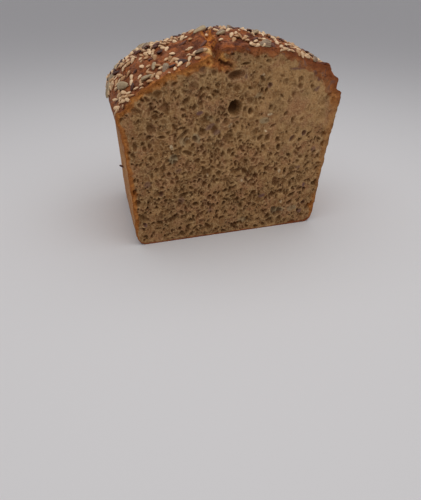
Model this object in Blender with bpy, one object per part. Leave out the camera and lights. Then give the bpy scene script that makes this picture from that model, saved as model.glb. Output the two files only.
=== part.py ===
"""Half a tin loaf of seeded bread, resting on its base with the cut face towards -Y.

The loaf is one solid: crumb, crust and the seeds that are baked onto its crown.
Units are metres and +Z is up. The origin is on the ground, under the middle of the loaf.
"""

import math

import bmesh
import bpy
import numpy as np
from mathutils import Matrix, Vector

MM = 0.001

# The tin shapes the lower part, and the dough spreads a little over its rim.
BASE_HALF_WIDTH = 54.0 * MM
RIM_HALF_WIDTH = 57.2 * MM
RIM_HEIGHT = 56.0 * MM
SHOULDER_HALF_WIDTH = 59.6 * MM
SHOULDER_HEIGHT = 72.0 * MM
BASE_CORNER_RADIUS = 5.5 * MM
CROWN_RISE = 29.8 * MM

# The loaf's length is measured on its middle line, from the cut to the end wall at the shoulder.
LENGTH = 78.0 * MM
CUT_Y = -37.9 * MM
CUT_SKEW = math.radians(3.7)
END_LEAN = 4.5 * MM
END_BULGE = 1.8 * MM
END_CORNER_RADIUS = 15.0 * MM
END_ROUNDING = 52.0 * MM
END_POWER = 2.2
MIDDLE_RISE = 4.0 * MM
MIDDLE_BULGE_RIGHT = 2.4 * MM
MIDDLE_BULGE_LEFT = 1.1 * MM

# The crown stands fuller over the right shoulder.
SHOULDER_SWELL = 2.2 * MM
SHOULDER_SWELL_X = 53.5 * MM
SHOULDER_SWELL_WIDTH = 7.0 * MM

# The crown opened along a lengthwise score, and the lobe left of it stayed lower.
SPLIT_FRONT_X = -11.5 * MM
SPLIT_DRIFT = 0.085
LOBE_DROP = 5.6 * MM
LOBE_DROP_LENGTH = 34.0 * MM
LOBE_DROP_BEHIND = 0.12
LIP_HEIGHT = 2.2 * MM
LIP_WIDTH = 5.5 * MM
VALLEY_DEPTH = 2.3 * MM
VALLEY_WIDTH = 1.4 * MM
LUMP_HEIGHT = 0.45 * MM

# Facets of the body, before the knife, the pores and the seeds.
BASE_STEPS = 6
CORNER_STEPS = 3
WALL_STEPS = 6
CROWN_STEPS = 24
LENGTH_STEPS = 12
CAP_RINGS = 4
KNIFE_MARGIN = 10.0 * MM

# Seeds: length, width and thickness of each kind, and how deep they sit in the crust.
KERNEL_SIZE = (9.0 * MM, 4.6 * MM, 2.9 * MM)
SESAME_SIZE = (3.3 * MM, 2.1 * MM, 1.3 * MM)
LINSEED_SIZE = (4.7 * MM, 2.5 * MM, 1.4 * MM)
SEED_SIZES = {"kernel": KERNEL_SIZE, "linseed": LINSEED_SIZE, "sesame": SESAME_SIZE}
SEED_LIFT = 0.14

# Where each seed lies: degrees over the crown from the right shoulder, share of the length,
# degrees turned in the crust's plane, and size against the kind's own.
SEED_PLACES = {
    "sesame": (
        (132.8, 0.374, 63, 1), (131.8, 0.326, 162, 1), (130, 0.306, 70, 1), (129.2, 0.266, 10, 0.9),
        (128, 0.302, 63, 0.9), (133.2, 0.27, 54, 1.1), (128.5, 0.214, 58, 1.1), (136.2, 0.25, 139, 0.9),
        (137, 0.194, 36, 1), (140, 0.386, 128, 1), (141.2, 0.342, 29, 1), (144.2, 0.346, 174, 1),
        (139, 0.354, 52, 0.9), (146.8, 0.414, 111, 0.9), (146.8, 0.234, 15, 1.1),
        (145.5, 0.166, 64, 1.1), (151.2, 0.238, 173, 1), (155.2, 0.258, 149, 1), (158.2, 0.262, 3, 1),
        (160.8, 0.246, 125, 1), (146.8, 0.114, 52, 1), (158.8, 0.15, 29, 1), (154.2, 0.09, 119, 1.1),
        (150.8, 0.038, 124, 1.1), (156.5, 0.054, 126, 1.2), (152.8, 0.01, 131, 1.1),
        (145.5, 0.026, 43, 1), (142, -0.014, 74, 1), (140.8, 0.062, 65, 1.1), (140.5, 0.114, 29, 0.9),
        (139.3, 0.066, 44, 1), (133.8, 0.09, 151, 1.1), (132.8, 0.042, 179, 1.1),
        (129.5, 0.026, 36, 1.3), (127.2, 0.078, 43, 1.2), (120.2, 0.098, 29, 1.3), (121.2, 0.134, 34, 1),
        (117.5, 0.03, 43, 1.2), (120.5, 0.006, 58, 0.9), (112, 0.154, 55, 1.1), (110.2, 0.158, 145, 1.1),
        (109, 0.086, 51, 1.3), (121.2, 0.254, 56, 1.1), (121.2, 0.342, 7, 1), (119.5, 0.33, 58, 1),
        (123, 0.318, 177, 1), (115.8, 0.322, 178, 1), (112.5, 0.342, 27, 1.1), (110.5, 0.346, 11, 1),
        (109.2, 0.278, 53, 1), (100.8, 0.334, 73, 1.2), (90, 0.174, 64, 1), (90.2, 0.09, 64, 1.1),
        (87.8, 0.146, 23, 1.1), (86, 0.142, 127, 1.1), (84.8, 0.106, 39, 1.1), (83.5, 0.082, 100, 1.1),
        (82.8, 0.142, 109, 1), (82.8, 0.034, 61, 1), (82, 0.018, 127, 1.1), (80.2, 0.018, 22, 1.1),
        (78.2, 0.046, 55, 1), (79.8, 0.074, 50, 1), (74, 0.126, 123, 1.1), (72.2, 0.106, 143, 1.1),
        (77.2, 0.022, 21, 1), (67, 0.142, 148, 1.1), (66.2, 0.102, 101, 1), (61, 0.15, 72, 1),
        (67.2, 0.03, 82, 1.1), (65.5, 0.03, 164, 1.3), (63.5, 0.03, 139, 1.1), (60.5, 0.034, 115, 1),
        (56.8, 0.038, 134, 1.1), (54, 0.038, 120, 1.1), (50.8, 0.042, 168, 1.1), (48.8, 0.058, 59, 1),
        (46.5, 0.062, 117, 1), (53.5, 0.258, 69, 1.1), (53.8, 0.182, 128, 1), (52.8, 0.142, 134, 1),
        (49.5, 0.138, 153, 1), (47.2, 0.114, 165, 1), (78.8, 0.278, 45, 1), (83.2, 0.278, 158, 1),
        (86.8, 0.222, 57, 1), (68.8, 0.418, 69, 1), (72.2, 0.246, 99, 1), (66.2, 0.238, 150, 1),
        (110.2, 0.483, 58, 1.14), (56.7, 0.808, 178, 1.02), (61.8, 0.425, 9, 1.02),
        (65.4, 0.987, 98, 1.07), (36.8, 0.884, 17, 1.08), (67.1, 0.993, 19, 1.08),
        (31.4, 0.655, 143, 0.97), (149.2, 0.431, 5, 0.98), (128.2, 0.746, 153, 1.14),
        (67.1, 0.321, 62, 0.95),
    ),
    "linseed": (
        (98.5, 0.51, 78, 0.9), (111.2, 0.554, 82, 0.9), (135.8, 0.414, 136, 1), (124.5, 0.262, 30, 1),
        (130.8, 0.222, 34, 0.9), (114.5, 0.55, 75, 1), (126.3, 0.362, 21, 0.8), (147, 0.626, 93, 0.8),
        (104.5, 0.134, 31, 1.1), (112.5, 0.262, 178, 1), (142.5, 0.19, 3, 0.8), (121.2, 0.046, 177, 0.8),
        (168.8, 0.55, 66, 0.9), (161.8, 0.662, 162, 0.8), (55.2, 0.39, 66, 1), (51.8, 0.286, 65, 1),
        (47.2, 0.222, 47, 1.1), (38, 0.246, 60, 0.9), (83.2, 0.334, 53, 0.9), (80.2, 0.322, 53, 0.9),
        (67.8, 0.254, 60, 0.8), (79, 0.114, 44, 0.8), (71.2, 0.038, 126, 0.8), (53.7, 0.966, 160, 1.09),
        (176.4, 0.969, 75, 0.93), (129.9, 0.841, 0, 1.07), (26, 0.913, 14, 0.92),
        (157.1, 0.48, 62, 1.14), (44, 0.241, 124, 0.9), (81.6, 0.483, 149, 1.14),
        (124.9, 0.397, 0, 0.96), (112.3, 0.947, 128, 0.86), (92, 0.67, 130, 0.97),
        (14.9, 0.884, 3, 1.02), (14.4, 0.978, 24, 1.05), (70.8, 0.446, 106, 0.88),
        (156.5, 0.779, 174, 0.99), (19.9, 0.111, 133, 1.01), (96.7, 0.544, 64, 0.93),
        (90.4, 0.502, 154, 1.05), (58.8, 0.497, 87, 0.95), (118.1, 0.909, 39, 1.08),
        (49.5, 0.714, 87, 0.97), (43.8, 0.875, 21, 0.85), (23.4, 0.339, 60, 1.14),
    ),
    "kernel": (
        (130, 0.482, 82, 0.8), (153.8, 0.574, 80, 0.7), (153, 0.158, 121, 1), (136.2, 0.054, 175, 0.7),
        (130.5, 0.13, 67, 0.6), (125, 0.05, 53, 0.7), (106.8, 0.07, 6, 0.6), (104, 0.346, 28, 0.9),
        (75.5, 0.042, 27, 0.9), (76, 0.27, 46, 0.8), (44, 0.062, 62, 0.6), (86.5, 0.414, 68, 0.8),
        (95.2, 0.214, 51, 0.9), (30.9, 0.843, 73, 1.04), (55.9, 0.541, 64, 1.05),
        (124.2, 0.689, 82, 0.91), (34.9, 0.383, 173, 0.91), (59.4, 0.649, 110, 1.05),
        (161.3, 0.495, 147, 0.91), (133.3, 0.714, 46, 1.03), (17.6, 0.63, 122, 0.87),
        (10.7, 0.356, 21, 1.13), (9.5, 0.92, 107, 0.89), (172.1, 0.427, 41, 1.03),
        (54.1, 0.871, 93, 1.12), (132.1, 0.619, 50, 1.06), (15.8, 0.479, 98, 0.88),
        (51.6, 0.924, 82, 1.04), (78.1, 0.992, 45, 0.97), (128.2, 0.557, 40, 0.95),
        (114.2, 0.817, 103, 1.03), (144.7, 0.829, 134, 0.92), (50.3, 0.646, 151, 0.89),
    ),
}

# Large pores opened by the knife, in millimetres: x and z on the cut face, width, height and depth.
# The last number is the turn in degrees, which leans the top to the right.
LARGE_PORES = (
    (0.4, 72.7, 6.9, 8.8, 8.0, 0),
    (0.2, 88.7, 3.8, 7.5, 4.5, 62),
    (-25.8, 78.0, 2.7, 6.4, 2.2, 48),
    (-43.6, 65.6, 5.9, 6.1, 2.2, -25),
    (8.5, 76.5, 4.3, 4.0, 1.8, 0),
    (9.2, 70.9, 3.2, 4.3, 2.5, 25),
    (0.8, 82.8, 4.8, 3.8, 2.0, 0),
    (15.7, 56.2, 2.4, 5.1, 2.2, 50),
    (27.2, 50.2, 2.7, 4.5, 2.6, 0),
    (34.4, 44.7, 2.2, 2.8, 2.6, 20),
    (32.6, 35.4, 2.2, 4.8, 3.0, 8),
    (36.8, 26.9, 2.0, 4.9, 2.2, -8),
    (38.9, 20.0, 2.4, 5.2, 2.6, 62),
    (37.9, 14.9, 2.7, 5.2, 2.6, 60),
    (-20.4, 21.3, 2.8, 4.6, 2.6, 80),
    (-25.0, 51.6, 2.8, 6.0, 2.0, -70),
    (-10.6, 62.6, 3.7, 5.3, 1.8, 35),
    (-39.6, 82.3, 4.8, 4.3, 1.4, 0),
    (-21.7, 84.9, 5.8, 4.9, 1.6, 0),
    (-12.7, 31.3, 2.1, 4.0, 1.8, 12),
)
SMALL_PORE_COUNT = 24
SMALL_PORE_SPACING = 10.0 * MM
PORE_DRAW = 12


def smooth(low, high, value):
    """0 below low, 1 above high, and a smooth S between them."""
    share = np.clip((value - low) / (high - low), 0.0, 1.0)
    return share * share * (3.0 - 2.0 * share)


def wall_half_width(z):
    """Half of the loaf's width at height z: the tin's taper, then the dough's spread above its rim."""
    tin = BASE_HALF_WIDTH + (RIM_HALF_WIDTH - BASE_HALF_WIDTH) * np.clip(z / RIM_HEIGHT, 0.0, 1.0)
    return tin + (SHOULDER_HALF_WIDTH - RIM_HALF_WIDTH) * smooth(RIM_HEIGHT, SHOULDER_HEIGHT, z)


def section_outline():
    """One upright section as points (x, z), closed, from the middle of the base round by the right side."""
    right = []
    flat = BASE_HALF_WIDTH - BASE_CORNER_RADIUS
    for step in range(BASE_STEPS // 2):
        right.append((flat * step / (BASE_STEPS // 2), 0.0))
    for step in range(CORNER_STEPS):
        angle = math.radians(90.0) * step / CORNER_STEPS
        right.append(
            (flat + BASE_CORNER_RADIUS * math.sin(angle), BASE_CORNER_RADIUS * (1.0 - math.cos(angle)))
        )
    for step in range(WALL_STEPS):
        z = BASE_CORNER_RADIUS + (SHOULDER_HEIGHT - BASE_CORNER_RADIUS) * step / WALL_STEPS
        right.append((float(wall_half_width(z)), z))
    left = [(-x, z) for x, z in reversed(right[1:])]
    return np.array(right + crown_arch() + left)


def crown_arch():
    """The crown from the right shoulder to the left one, with extra points across the split."""
    angles = [math.pi * step / CROWN_STEPS for step in range(CROWN_STEPS + 1)]
    middle = math.acos(SPLIT_FRONT_X / SHOULDER_HALF_WIDTH)
    reach = 6.0 * MM / SHOULDER_HALF_WIDTH
    across = [middle + reach * share for share in (-1.0, -0.55, -0.2, 0.1, 0.55, 1.0)]
    angles = [angle for angle in angles if abs(angle - middle) > 1.25 * reach]
    angles = sorted(angles + across)
    return [
        (SHOULDER_HALF_WIDTH * math.cos(angle), SHOULDER_HEIGHT + CROWN_RISE * math.sin(angle))
        for angle in angles
    ]


def split_shape(offset):
    """What the split does at this distance to the right of its valley line.

    Gives the lobe's share of its drop, from -1 left of the line to 0 right of it.
    Also gives the height of lip and valley.
    """
    lobe = smooth(-1.0 * MM, 6.0 * MM, offset) - 1.0
    lip = LIP_HEIGHT * np.exp(-(((offset + 3.5 * MM) / LIP_WIDTH) ** 2))
    valley = -VALLEY_DEPTH * np.exp(-(((offset - 0.8 * MM) / VALLEY_WIDTH) ** 2))
    return lobe, lip + valley


def lumps(x, y, z):
    """Uneven swelling of the crust, in metres, as a sum of crossed waves of a few lengths."""
    x, y, z = x / MM, y / MM, z / MM
    broad = np.sin(x / 7.3 + 1.3) * np.cos(y / 9.1 + 0.4) + np.sin((x - 0.7 * y) / 12.7 + z / 15.0)
    fine = 0.5 * np.sin((x + 1.3 * y) / 4.1 + z / 6.0) * np.cos((y - 0.6 * x) / 5.3 + 2.0)
    return LUMP_HEIGHT * (broad + fine) / 2.0


def loaf_surface(x, z, share):
    """Places points (x, z) of the upright section at a share of the loaf's length.

    Share 0 is the cut plane at the loaf's middle line, and 1 is the end wall.
    Negative shares lie in front of the cut.
    """
    above = np.clip((z - SHOULDER_HEIGHT) / CROWN_RISE, 0.0, 1.0)
    below = np.clip(z / SHOULDER_HEIGHT, 0.0, 1.0)
    reach = LENGTH - END_LEAN * (1.0 - below)
    along = share * reach
    to_end = np.clip(reach - along, 0.0, None)
    # The end wall meets the sides in round upright corners.
    corner = np.clip(1.0 - to_end / END_CORNER_RADIUS, 0.0, 1.0)
    half = np.maximum(np.abs(x), 1e-6)
    tuck = END_CORNER_RADIUS * (1.0 - np.sqrt(1.0 - corner**2)) * (half / SHOULDER_HALF_WIDTH)
    middle = np.sin(math.pi * np.clip(along / LENGTH, 0.0, 1.0) ** 0.8)
    swell = np.where(x > 0.0, MIDDLE_BULGE_RIGHT, MIDDLE_BULGE_LEFT) * middle * (0.5 + 0.5 * below)
    wide = x * (1.0 + (swell - tuck) / SHOULDER_HALF_WIDTH)
    # The crown rises a little behind the cut and rounds down to the end wall.
    rounding = np.clip(1.0 - to_end / END_ROUNDING, 0.0, 1.0)
    crown = (1.0 - rounding**END_POWER) ** (1.0 / END_POWER)
    rise = MIDDLE_RISE * np.sin(math.pi * np.clip(along / LENGTH, 0.0, 1.0) ** 0.7) * above
    y = CUT_Y + along
    split_x = SPLIT_FRONT_X + SPLIT_DRIFT * along
    wide = wide + (split_x - SPLIT_FRONT_X) * np.exp(-(((x - SPLIT_FRONT_X) / (18.0 * MM)) ** 2)) * above
    lobe, fold = split_shape(wide - split_x)
    height = z + (crown - 1.0) * (z - SHOULDER_HEIGHT) * (z > SHOULDER_HEIGHT) + rise
    drop = LOBE_DROP * (1.0 - (1.0 - LOBE_DROP_BEHIND) * smooth(0.0, LOBE_DROP_LENGTH, along))
    lobe = lobe * drop * smooth(0.0, 10.0 * MM, z - SHOULDER_HEIGHT)
    height = height + (lobe + fold * above) * crown
    swell = SHOULDER_SWELL * np.exp(-(((x - SHOULDER_SWELL_X) / SHOULDER_SWELL_WIDTH) ** 2))
    height = height + swell * smooth(0.0, 7.0 * MM, z - SHOULDER_HEIGHT) * crown
    # Lumps push the crust out from the loaf's core, and leave the base flat.
    from_core = np.stack([wide, 0.0 * wide, height - 0.5 * SHOULDER_HEIGHT], axis=-1)
    from_core = from_core / np.linalg.norm(from_core, axis=-1, keepdims=True)
    amount = lumps(wide, y, height) * (0.45 + 0.55 * above) * smooth(0.0, 12.0 * MM, z)
    return np.stack([wide, y, height], axis=-1) + from_core * amount[..., None]


def body_mesh():
    """The loaf in front of and behind the cut, as rings of one section closed by a cap at each end."""
    outline = section_outline()
    first = -(KNIFE_MARGIN + SHOULDER_HALF_WIDTH * math.tan(CUT_SKEW)) / LENGTH
    shares = [first, *(1.0 - (1.0 - step / LENGTH_STEPS) ** 1.25 for step in range(LENGTH_STEPS + 1))]
    rings = [loaf_surface(outline[:, 0], outline[:, 1], np.full(len(outline), share)) for share in shares]
    rim = rings[-1]
    middle = np.array([0.0, rim[:, 1].max() + END_BULGE, 0.5 * SHOULDER_HEIGHT])
    for step in range(1, CAP_RINGS):
        inward = step / CAP_RINGS
        ring = rim + (middle - rim) * inward
        # The end wall swells outwards as a shallow dome, and keeps its lean at the base.
        ring[:, 1] = rim[:, 1] + END_BULGE * math.sin(0.5 * math.pi * inward)
        rings.append(ring)
    mesh = bmesh.new()
    loops = [[mesh.verts.new(point) for point in ring] for ring in rings]
    count = len(outline)
    for near, far in zip(loops, loops[1:]):
        for side in range(count):
            after = (side + 1) % count
            mesh.faces.new((near[side], near[after], far[after], far[side]))
    mesh.faces.new(list(reversed(loops[0])))
    peak = mesh.verts.new((0.0, loops[-1][0].co.y + 0.2 * MM, middle[2]))
    for side in range(count):
        mesh.faces.new((loops[-1][side], loops[-1][(side + 1) % count], peak))
    bmesh.ops.triangulate(mesh, faces=mesh.faces)
    bmesh.ops.recalc_face_normals(mesh, faces=mesh.faces)
    return mesh


def object_from(name, mesh, material=None):
    """Turns a bmesh into an object in the scene and frees the bmesh."""
    data = bpy.data.meshes.new(name)
    mesh.to_mesh(data)
    mesh.free()
    made = bpy.data.objects.new(name, data)
    bpy.context.scene.collection.objects.link(made)
    if material is not None:
        data.materials.append(material)
    return made


def bread_material():
    """Baked bread: brown, rough, and not metallic."""
    made = bpy.data.materials.new("bread")
    made.use_nodes = True
    shader = made.node_tree.nodes["Principled BSDF"]
    shader.inputs["Base Color"].default_value = (0.36, 0.19, 0.085, 1.0)
    shader.inputs["Roughness"].default_value = 0.75
    shader.inputs["Metallic"].default_value = 0.0
    return made


def knife_block():
    """The space in front of the cut face, which the knife took away. It is turned by the cut's skew."""
    depth = 60.0 * MM
    mesh = bmesh.new()
    bmesh.ops.create_cube(mesh, size=1.0)
    bmesh.ops.scale(mesh, vec=(300.0 * MM, depth, 300.0 * MM), verts=mesh.verts)
    bmesh.ops.translate(mesh, vec=(0.0, -0.5 * depth, 0.0), verts=mesh.verts)
    bmesh.ops.rotate(mesh, matrix=Matrix.Rotation(CUT_SKEW, 3, "Z"), verts=mesh.verts)
    bmesh.ops.translate(mesh, vec=(0.0, CUT_Y, 0.0), verts=mesh.verts)
    return object_from("knife", mesh)


def pore_list():
    """Every pore as (x, z, width, height, depth, turn): large ones, then smaller ones by a seeded draw."""
    pores = [(*(size * MM for size in pore[:5]), math.radians(pore[5])) for pore in LARGE_PORES]
    draw = np.random.default_rng(PORE_DRAW)
    wanted = len(pores) + SMALL_PORE_COUNT
    while len(pores) < wanted:
        x, z = draw.uniform(-49.0, 49.0) * MM, draw.uniform(7.0, 92.0) * MM
        width, height = draw.uniform(2.2, 3.6) * MM, draw.uniform(2.4, 4.4) * MM
        turn = draw.uniform(-1.4, 1.4)
        roof = SHOULDER_HEIGHT + CROWN_RISE * math.sqrt(1.0 - (x / SHOULDER_HALF_WIDTH) ** 2)
        inside = z < roof - 13.0 * MM and abs(x) < wall_half_width(z) - 7.0 * MM
        apart = all(math.hypot(x - p[0], z - p[1]) > SMALL_PORE_SPACING for p in pores)
        if inside and apart:
            pores.append((x, z, width, height, 0.8 * width, turn))
    return pores


def pore_cutters():
    """The pores as one mesh of separate ellipsoids, whose middles lie just in front of the cut face."""
    whole = bmesh.new()
    for x, z, width, height, depth, turn in pore_list():
        large = max(width, height) > 5.0 * MM
        made = bmesh.ops.create_uvsphere(
            whole, u_segments=8 if large else 6, v_segments=6 if large else 4, radius=1.0
        )
        # The ellipsoid's poles point into the loaf, so that its rim on the cut face is an even polygon.
        place = (
            Matrix.Translation((x, CUT_Y + x * math.tan(CUT_SKEW), z))
            @ Matrix.Rotation(CUT_SKEW, 4, "Z")
            @ Matrix.Translation((0.0, -0.2 * depth, 0.0))
            @ Matrix.Rotation(turn, 4, "Y")
            @ Matrix.Diagonal((0.52 * width, 1.2 * depth, 0.52 * height, 1.0))
            @ Matrix.Rotation(math.radians(90.0), 4, "X")
        )
        bmesh.ops.transform(whole, matrix=place, verts=made["verts"])
    bmesh.ops.triangulate(whole, faces=whole.faces)
    bmesh.ops.recalc_face_normals(whole, faces=whole.faces)
    return object_from("pores", whole)


def crown_spot(angle, share):
    """The crust at an angle over the crown and a share of the length: point, outward normal, tangent."""

    def at(turned, moved):
        x = np.array([SHOULDER_HALF_WIDTH * math.cos(turned)])
        z = np.array([SHOULDER_HEIGHT + CROWN_RISE * math.sin(turned)])
        return loaf_surface(x, z, np.array([moved]))[0]

    step = 0.01
    point = at(angle, share)
    across = at(angle - step, share) - at(angle + step, share)
    along = at(angle, share + step) - at(angle, share - step)
    normal = np.cross(across, along)
    return point, normal / np.linalg.norm(normal), across / np.linalg.norm(across)


def seed_spots():
    """Every seed as (kind, point, normal, crosswise tangent, turn, size)."""
    spots = []
    for kind, places in SEED_PLACES.items():
        for angle, share, turn, size in places:
            point, normal, across = crown_spot(math.radians(angle), share)
            spots.append((kind, point, normal, across, math.radians(turn), size))
    return spots


def seed_mesh(size, segments, rings):
    """A seed lying along X: a teardrop outline whose sides are round, blunt at +X and pointed at -X."""
    length, width, thickness = size
    mesh = bmesh.new()
    loops = []
    for ring in range(1, rings):
        angle = math.pi * ring / rings
        girth = math.sin(angle) * (1.0 + 0.28 * math.cos(angle))
        loop = []
        for side in range(segments):
            around = 2.0 * math.pi * side / segments
            loop.append(
                mesh.verts.new(
                    (
                        0.5 * length * math.cos(angle),
                        0.5 * width * girth * math.cos(around),
                        0.5 * thickness * girth * math.sin(around),
                    )
                )
            )
        loops.append(loop)
    for near, far in zip(loops, loops[1:]):
        for side in range(segments):
            after = (side + 1) % segments
            mesh.faces.new((near[side], near[after], far[after], far[side]))
    blunt = mesh.verts.new((0.5 * length, 0.0, 0.0))
    point = mesh.verts.new((-0.5 * length, 0.0, 0.0))
    for side in range(segments):
        after = (side + 1) % segments
        mesh.faces.new((blunt, loops[0][after], loops[0][side]))
        mesh.faces.new((point, loops[-1][side], loops[-1][after]))
    bmesh.ops.triangulate(mesh, faces=mesh.faces)
    bmesh.ops.recalc_face_normals(mesh, faces=mesh.faces)
    return mesh


def seed_objects():
    """A collection with every seed, each laid flat on the crust and sunk into it by half."""
    shapes = {}
    for kind, size in SEED_SIZES.items():
        shapes[kind] = bpy.data.meshes.new(kind)
        mesh = seed_mesh(size, 6, 4 if kind == "kernel" else 3)
        mesh.to_mesh(shapes[kind])
        mesh.free()
    seeds = bpy.data.collections.new("seeds")
    bpy.context.scene.collection.children.link(seeds)
    for number, (kind, point, normal, across, turn, size) in enumerate(seed_spots()):
        up, side = Vector(normal), Vector(across)
        frame = Matrix((side, up.cross(side), up)).transposed()
        turned = frame @ Matrix.Rotation(turn, 3, "Z")
        lift = SEED_LIFT * SEED_SIZES[kind][2]
        made = bpy.data.objects.new(f"seed_{number}", shapes[kind])
        place = Matrix.Translation(Vector(point) + up * lift) @ turned.to_4x4()
        made.matrix_world = place @ Matrix.Scale(size, 4)
        seeds.objects.link(made)
    return seeds


def apply_modifiers(target):
    """Replaces the object's mesh by its evaluated one and clears its modifiers."""
    graph = bpy.context.evaluated_depsgraph_get()
    data = bpy.data.meshes.new_from_object(target.evaluated_get(graph))
    target.modifiers.clear()
    target.data = data


def combine(target, operation, other):
    """Joins or cuts the target with an object or a collection, applies the Boolean and removes the other."""
    modifier = target.modifiers.new(operation.lower(), "BOOLEAN")
    modifier.operation = operation
    modifier.solver = "MANIFOLD"
    if isinstance(other, bpy.types.Collection):
        modifier.operand_type = "COLLECTION"
        modifier.collection = other
    else:
        modifier.object = other
    bpy.context.view_layer.update()
    apply_modifiers(target)
    if isinstance(other, bpy.types.Collection):
        for member in list(other.objects):
            bpy.data.objects.remove(member)
        bpy.data.collections.remove(other)
    else:
        bpy.data.objects.remove(other)


def keep_largest_body(target):
    """Drops loose scraps that the cuts left, so that the loaf is one body."""
    mesh = bmesh.new()
    mesh.from_mesh(target.data)
    left, bodies = set(mesh.verts), []
    while left:
        body, front = set(), [left.pop()]
        while front:
            vert = front.pop()
            body.add(vert)
            for edge in vert.link_edges:
                other = edge.other_vert(vert)
                if other in left:
                    left.discard(other)
                    front.append(other)
        bodies.append(body)
    bodies.sort(key=len)
    loose = [vert for body in bodies[:-1] for vert in body]
    bmesh.ops.delete(mesh, geom=loose, context="VERTS")
    mesh.to_mesh(target.data)
    mesh.free()


def build_loaf():
    """The whole loaf: the baked body, cut by the knife, with its open pores and its seeds."""
    loaf = object_from("loaf", body_mesh(), bread_material())
    combine(loaf, "DIFFERENCE", knife_block())
    combine(loaf, "DIFFERENCE", pore_cutters())
    combine(loaf, "UNION", seed_objects())
    keep_largest_body(loaf)
    loaf.data.shade_smooth()
    loaf.data.set_sharp_from_angle(angle=math.radians(32.0))
    return loaf


def main():
    for old in list(bpy.data.objects):
        bpy.data.objects.remove(old)
    build_loaf()


main()
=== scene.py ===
"""Half a tin loaf of seeded bread, standing on its base, dressed over its CAD solid.

The crust, the crumb and each kind of seed are surfaces worked out with numpy from the loaf's own measures.
Everything is in metres in the CAD's frame: +Z up, the cut face towards -Y, the origin under the middle.
"""

from __future__ import annotations

import logging
import math
from dataclasses import dataclass, field
from enum import Enum

import bpy
import numpy as np
from mathutils import Matrix, Vector

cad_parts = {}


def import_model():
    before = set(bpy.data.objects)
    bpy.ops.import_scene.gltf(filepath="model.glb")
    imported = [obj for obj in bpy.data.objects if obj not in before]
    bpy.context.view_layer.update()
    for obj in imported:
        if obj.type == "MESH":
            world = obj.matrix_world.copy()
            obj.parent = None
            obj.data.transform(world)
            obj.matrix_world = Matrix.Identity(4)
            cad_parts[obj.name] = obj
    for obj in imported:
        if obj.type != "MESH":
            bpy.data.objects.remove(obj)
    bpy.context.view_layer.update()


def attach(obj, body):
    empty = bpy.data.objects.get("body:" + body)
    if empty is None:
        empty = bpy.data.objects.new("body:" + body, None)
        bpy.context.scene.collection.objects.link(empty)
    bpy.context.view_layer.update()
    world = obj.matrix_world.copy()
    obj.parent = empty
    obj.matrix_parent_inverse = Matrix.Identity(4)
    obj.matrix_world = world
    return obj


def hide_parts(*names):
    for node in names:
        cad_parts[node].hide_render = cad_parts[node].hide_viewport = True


LOG = logging.getLogger("seeded_loaf")
MM = 0.001
Colour = tuple[float, float, float]
Socket = bpy.types.NodeSocket
Masks = dict[str, np.ndarray]
# A window of a raster, each cell's distance from an ellipse's middle, and its height in the ellipse.
Ellipse = tuple[tuple[slice, slice], np.ndarray, np.ndarray]


@dataclass(frozen=True)
class SeedForm:
    """One kind of seed: its piece's name, size, mesh steps, how blunt one end is, and how far seeds tip."""

    name: str
    length: float
    width: float
    thickness: float
    segments: int
    rings: int
    taper: float
    tip: float


class SeedKind(Enum):
    """The kinds of seed on the crown."""

    KERNEL = SeedForm("kernels", 9.0 * MM, 4.4 * MM, 2.6 * MM, 14, 11, 0.42, math.radians(8.0))
    SESAME = SeedForm("sesame_seeds", 3.4 * MM, 1.8 * MM, 1.15 * MM, 10, 8, 0.42, math.radians(22.0))
    LINSEED = SeedForm("linseeds", 4.7 * MM, 2.4 * MM, 1.3 * MM, 10, 8, 0.26, math.radians(17.0))


def smooth(low: float, high: float, value: np.ndarray) -> np.ndarray:
    """A smooth S from 0 at low to 1 at high.

    Args:
        low: Where the S starts.
        high: Where the S ends.
        value: The numbers to shape.

    Returns:
        The shaped numbers, from 0 to 1.
    """
    share = np.clip((value - low) / (high - low), 0.0, 1.0)
    return share * share * (3.0 - 2.0 * share)


def hashed(cell: np.ndarray, seed: int) -> np.ndarray:
    """Scrambles each lattice cell's whole numbers into one number, with no pattern that shows.

    Args:
        cell: Whole-numbered positions, with x, y and z on the last axis.
        seed: Picks one draw of many.

    Returns:
        One number from -1 to 1 for each cell.
    """
    mixed = cell[..., 0] * 73856093 ^ cell[..., 1] * 19349663 ^ cell[..., 2] * 83492791 ^ (seed * 9176 + 77)
    mixed = (mixed ^ mixed >> 13) * 1274126177
    return (mixed >> 11 & 0xFFFF) / 32767.5 - 1.0


def lattice_noise(points: np.ndarray, size: float, seed: int) -> np.ndarray:
    """Smooth noise in space: a hashed value at each lattice corner, blended across its cell by a smooth S.

    Args:
        points: Positions, with x, y and z on the last axis.
        size: The lattice's pitch.
        seed: Picks one noise of many.

    Returns:
        One number from -1 to 1 for each position.
    """
    scaled = points / size
    cell = np.floor(scaled).astype(np.int64)
    share = scaled - cell
    share = share * share * (3.0 - 2.0 * share)
    total = np.zeros(points.shape[:-1])
    for corner in range(8):
        step = np.array([corner & 1, corner >> 1 & 1, corner >> 2 & 1])
        total += hashed(cell + step, seed) * np.prod(np.where(step, share, 1.0 - share), axis=-1)
    return total


def layered_noise(points: np.ndarray, size: float, seed: int, layers: int = 3) -> np.ndarray:
    """Noise with finer layers: each layer has half the size and 0.55 of the height of the one before.

    Args:
        points: Positions, with x, y and z on the last axis.
        size: The coarsest layer's pitch.
        seed: Picks one noise of many.
        layers: How many layers are added.

    Returns:
        One number of about -1 to 1 for each position.
    """
    total = np.zeros(points.shape[:-1])
    height, whole = 1.0, 0.0
    for layer in range(layers):
        total += height * lattice_noise(points, size * 0.5**layer, seed + 31 * layer)
        whole += height
        height *= 0.55
    return total / whole


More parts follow.
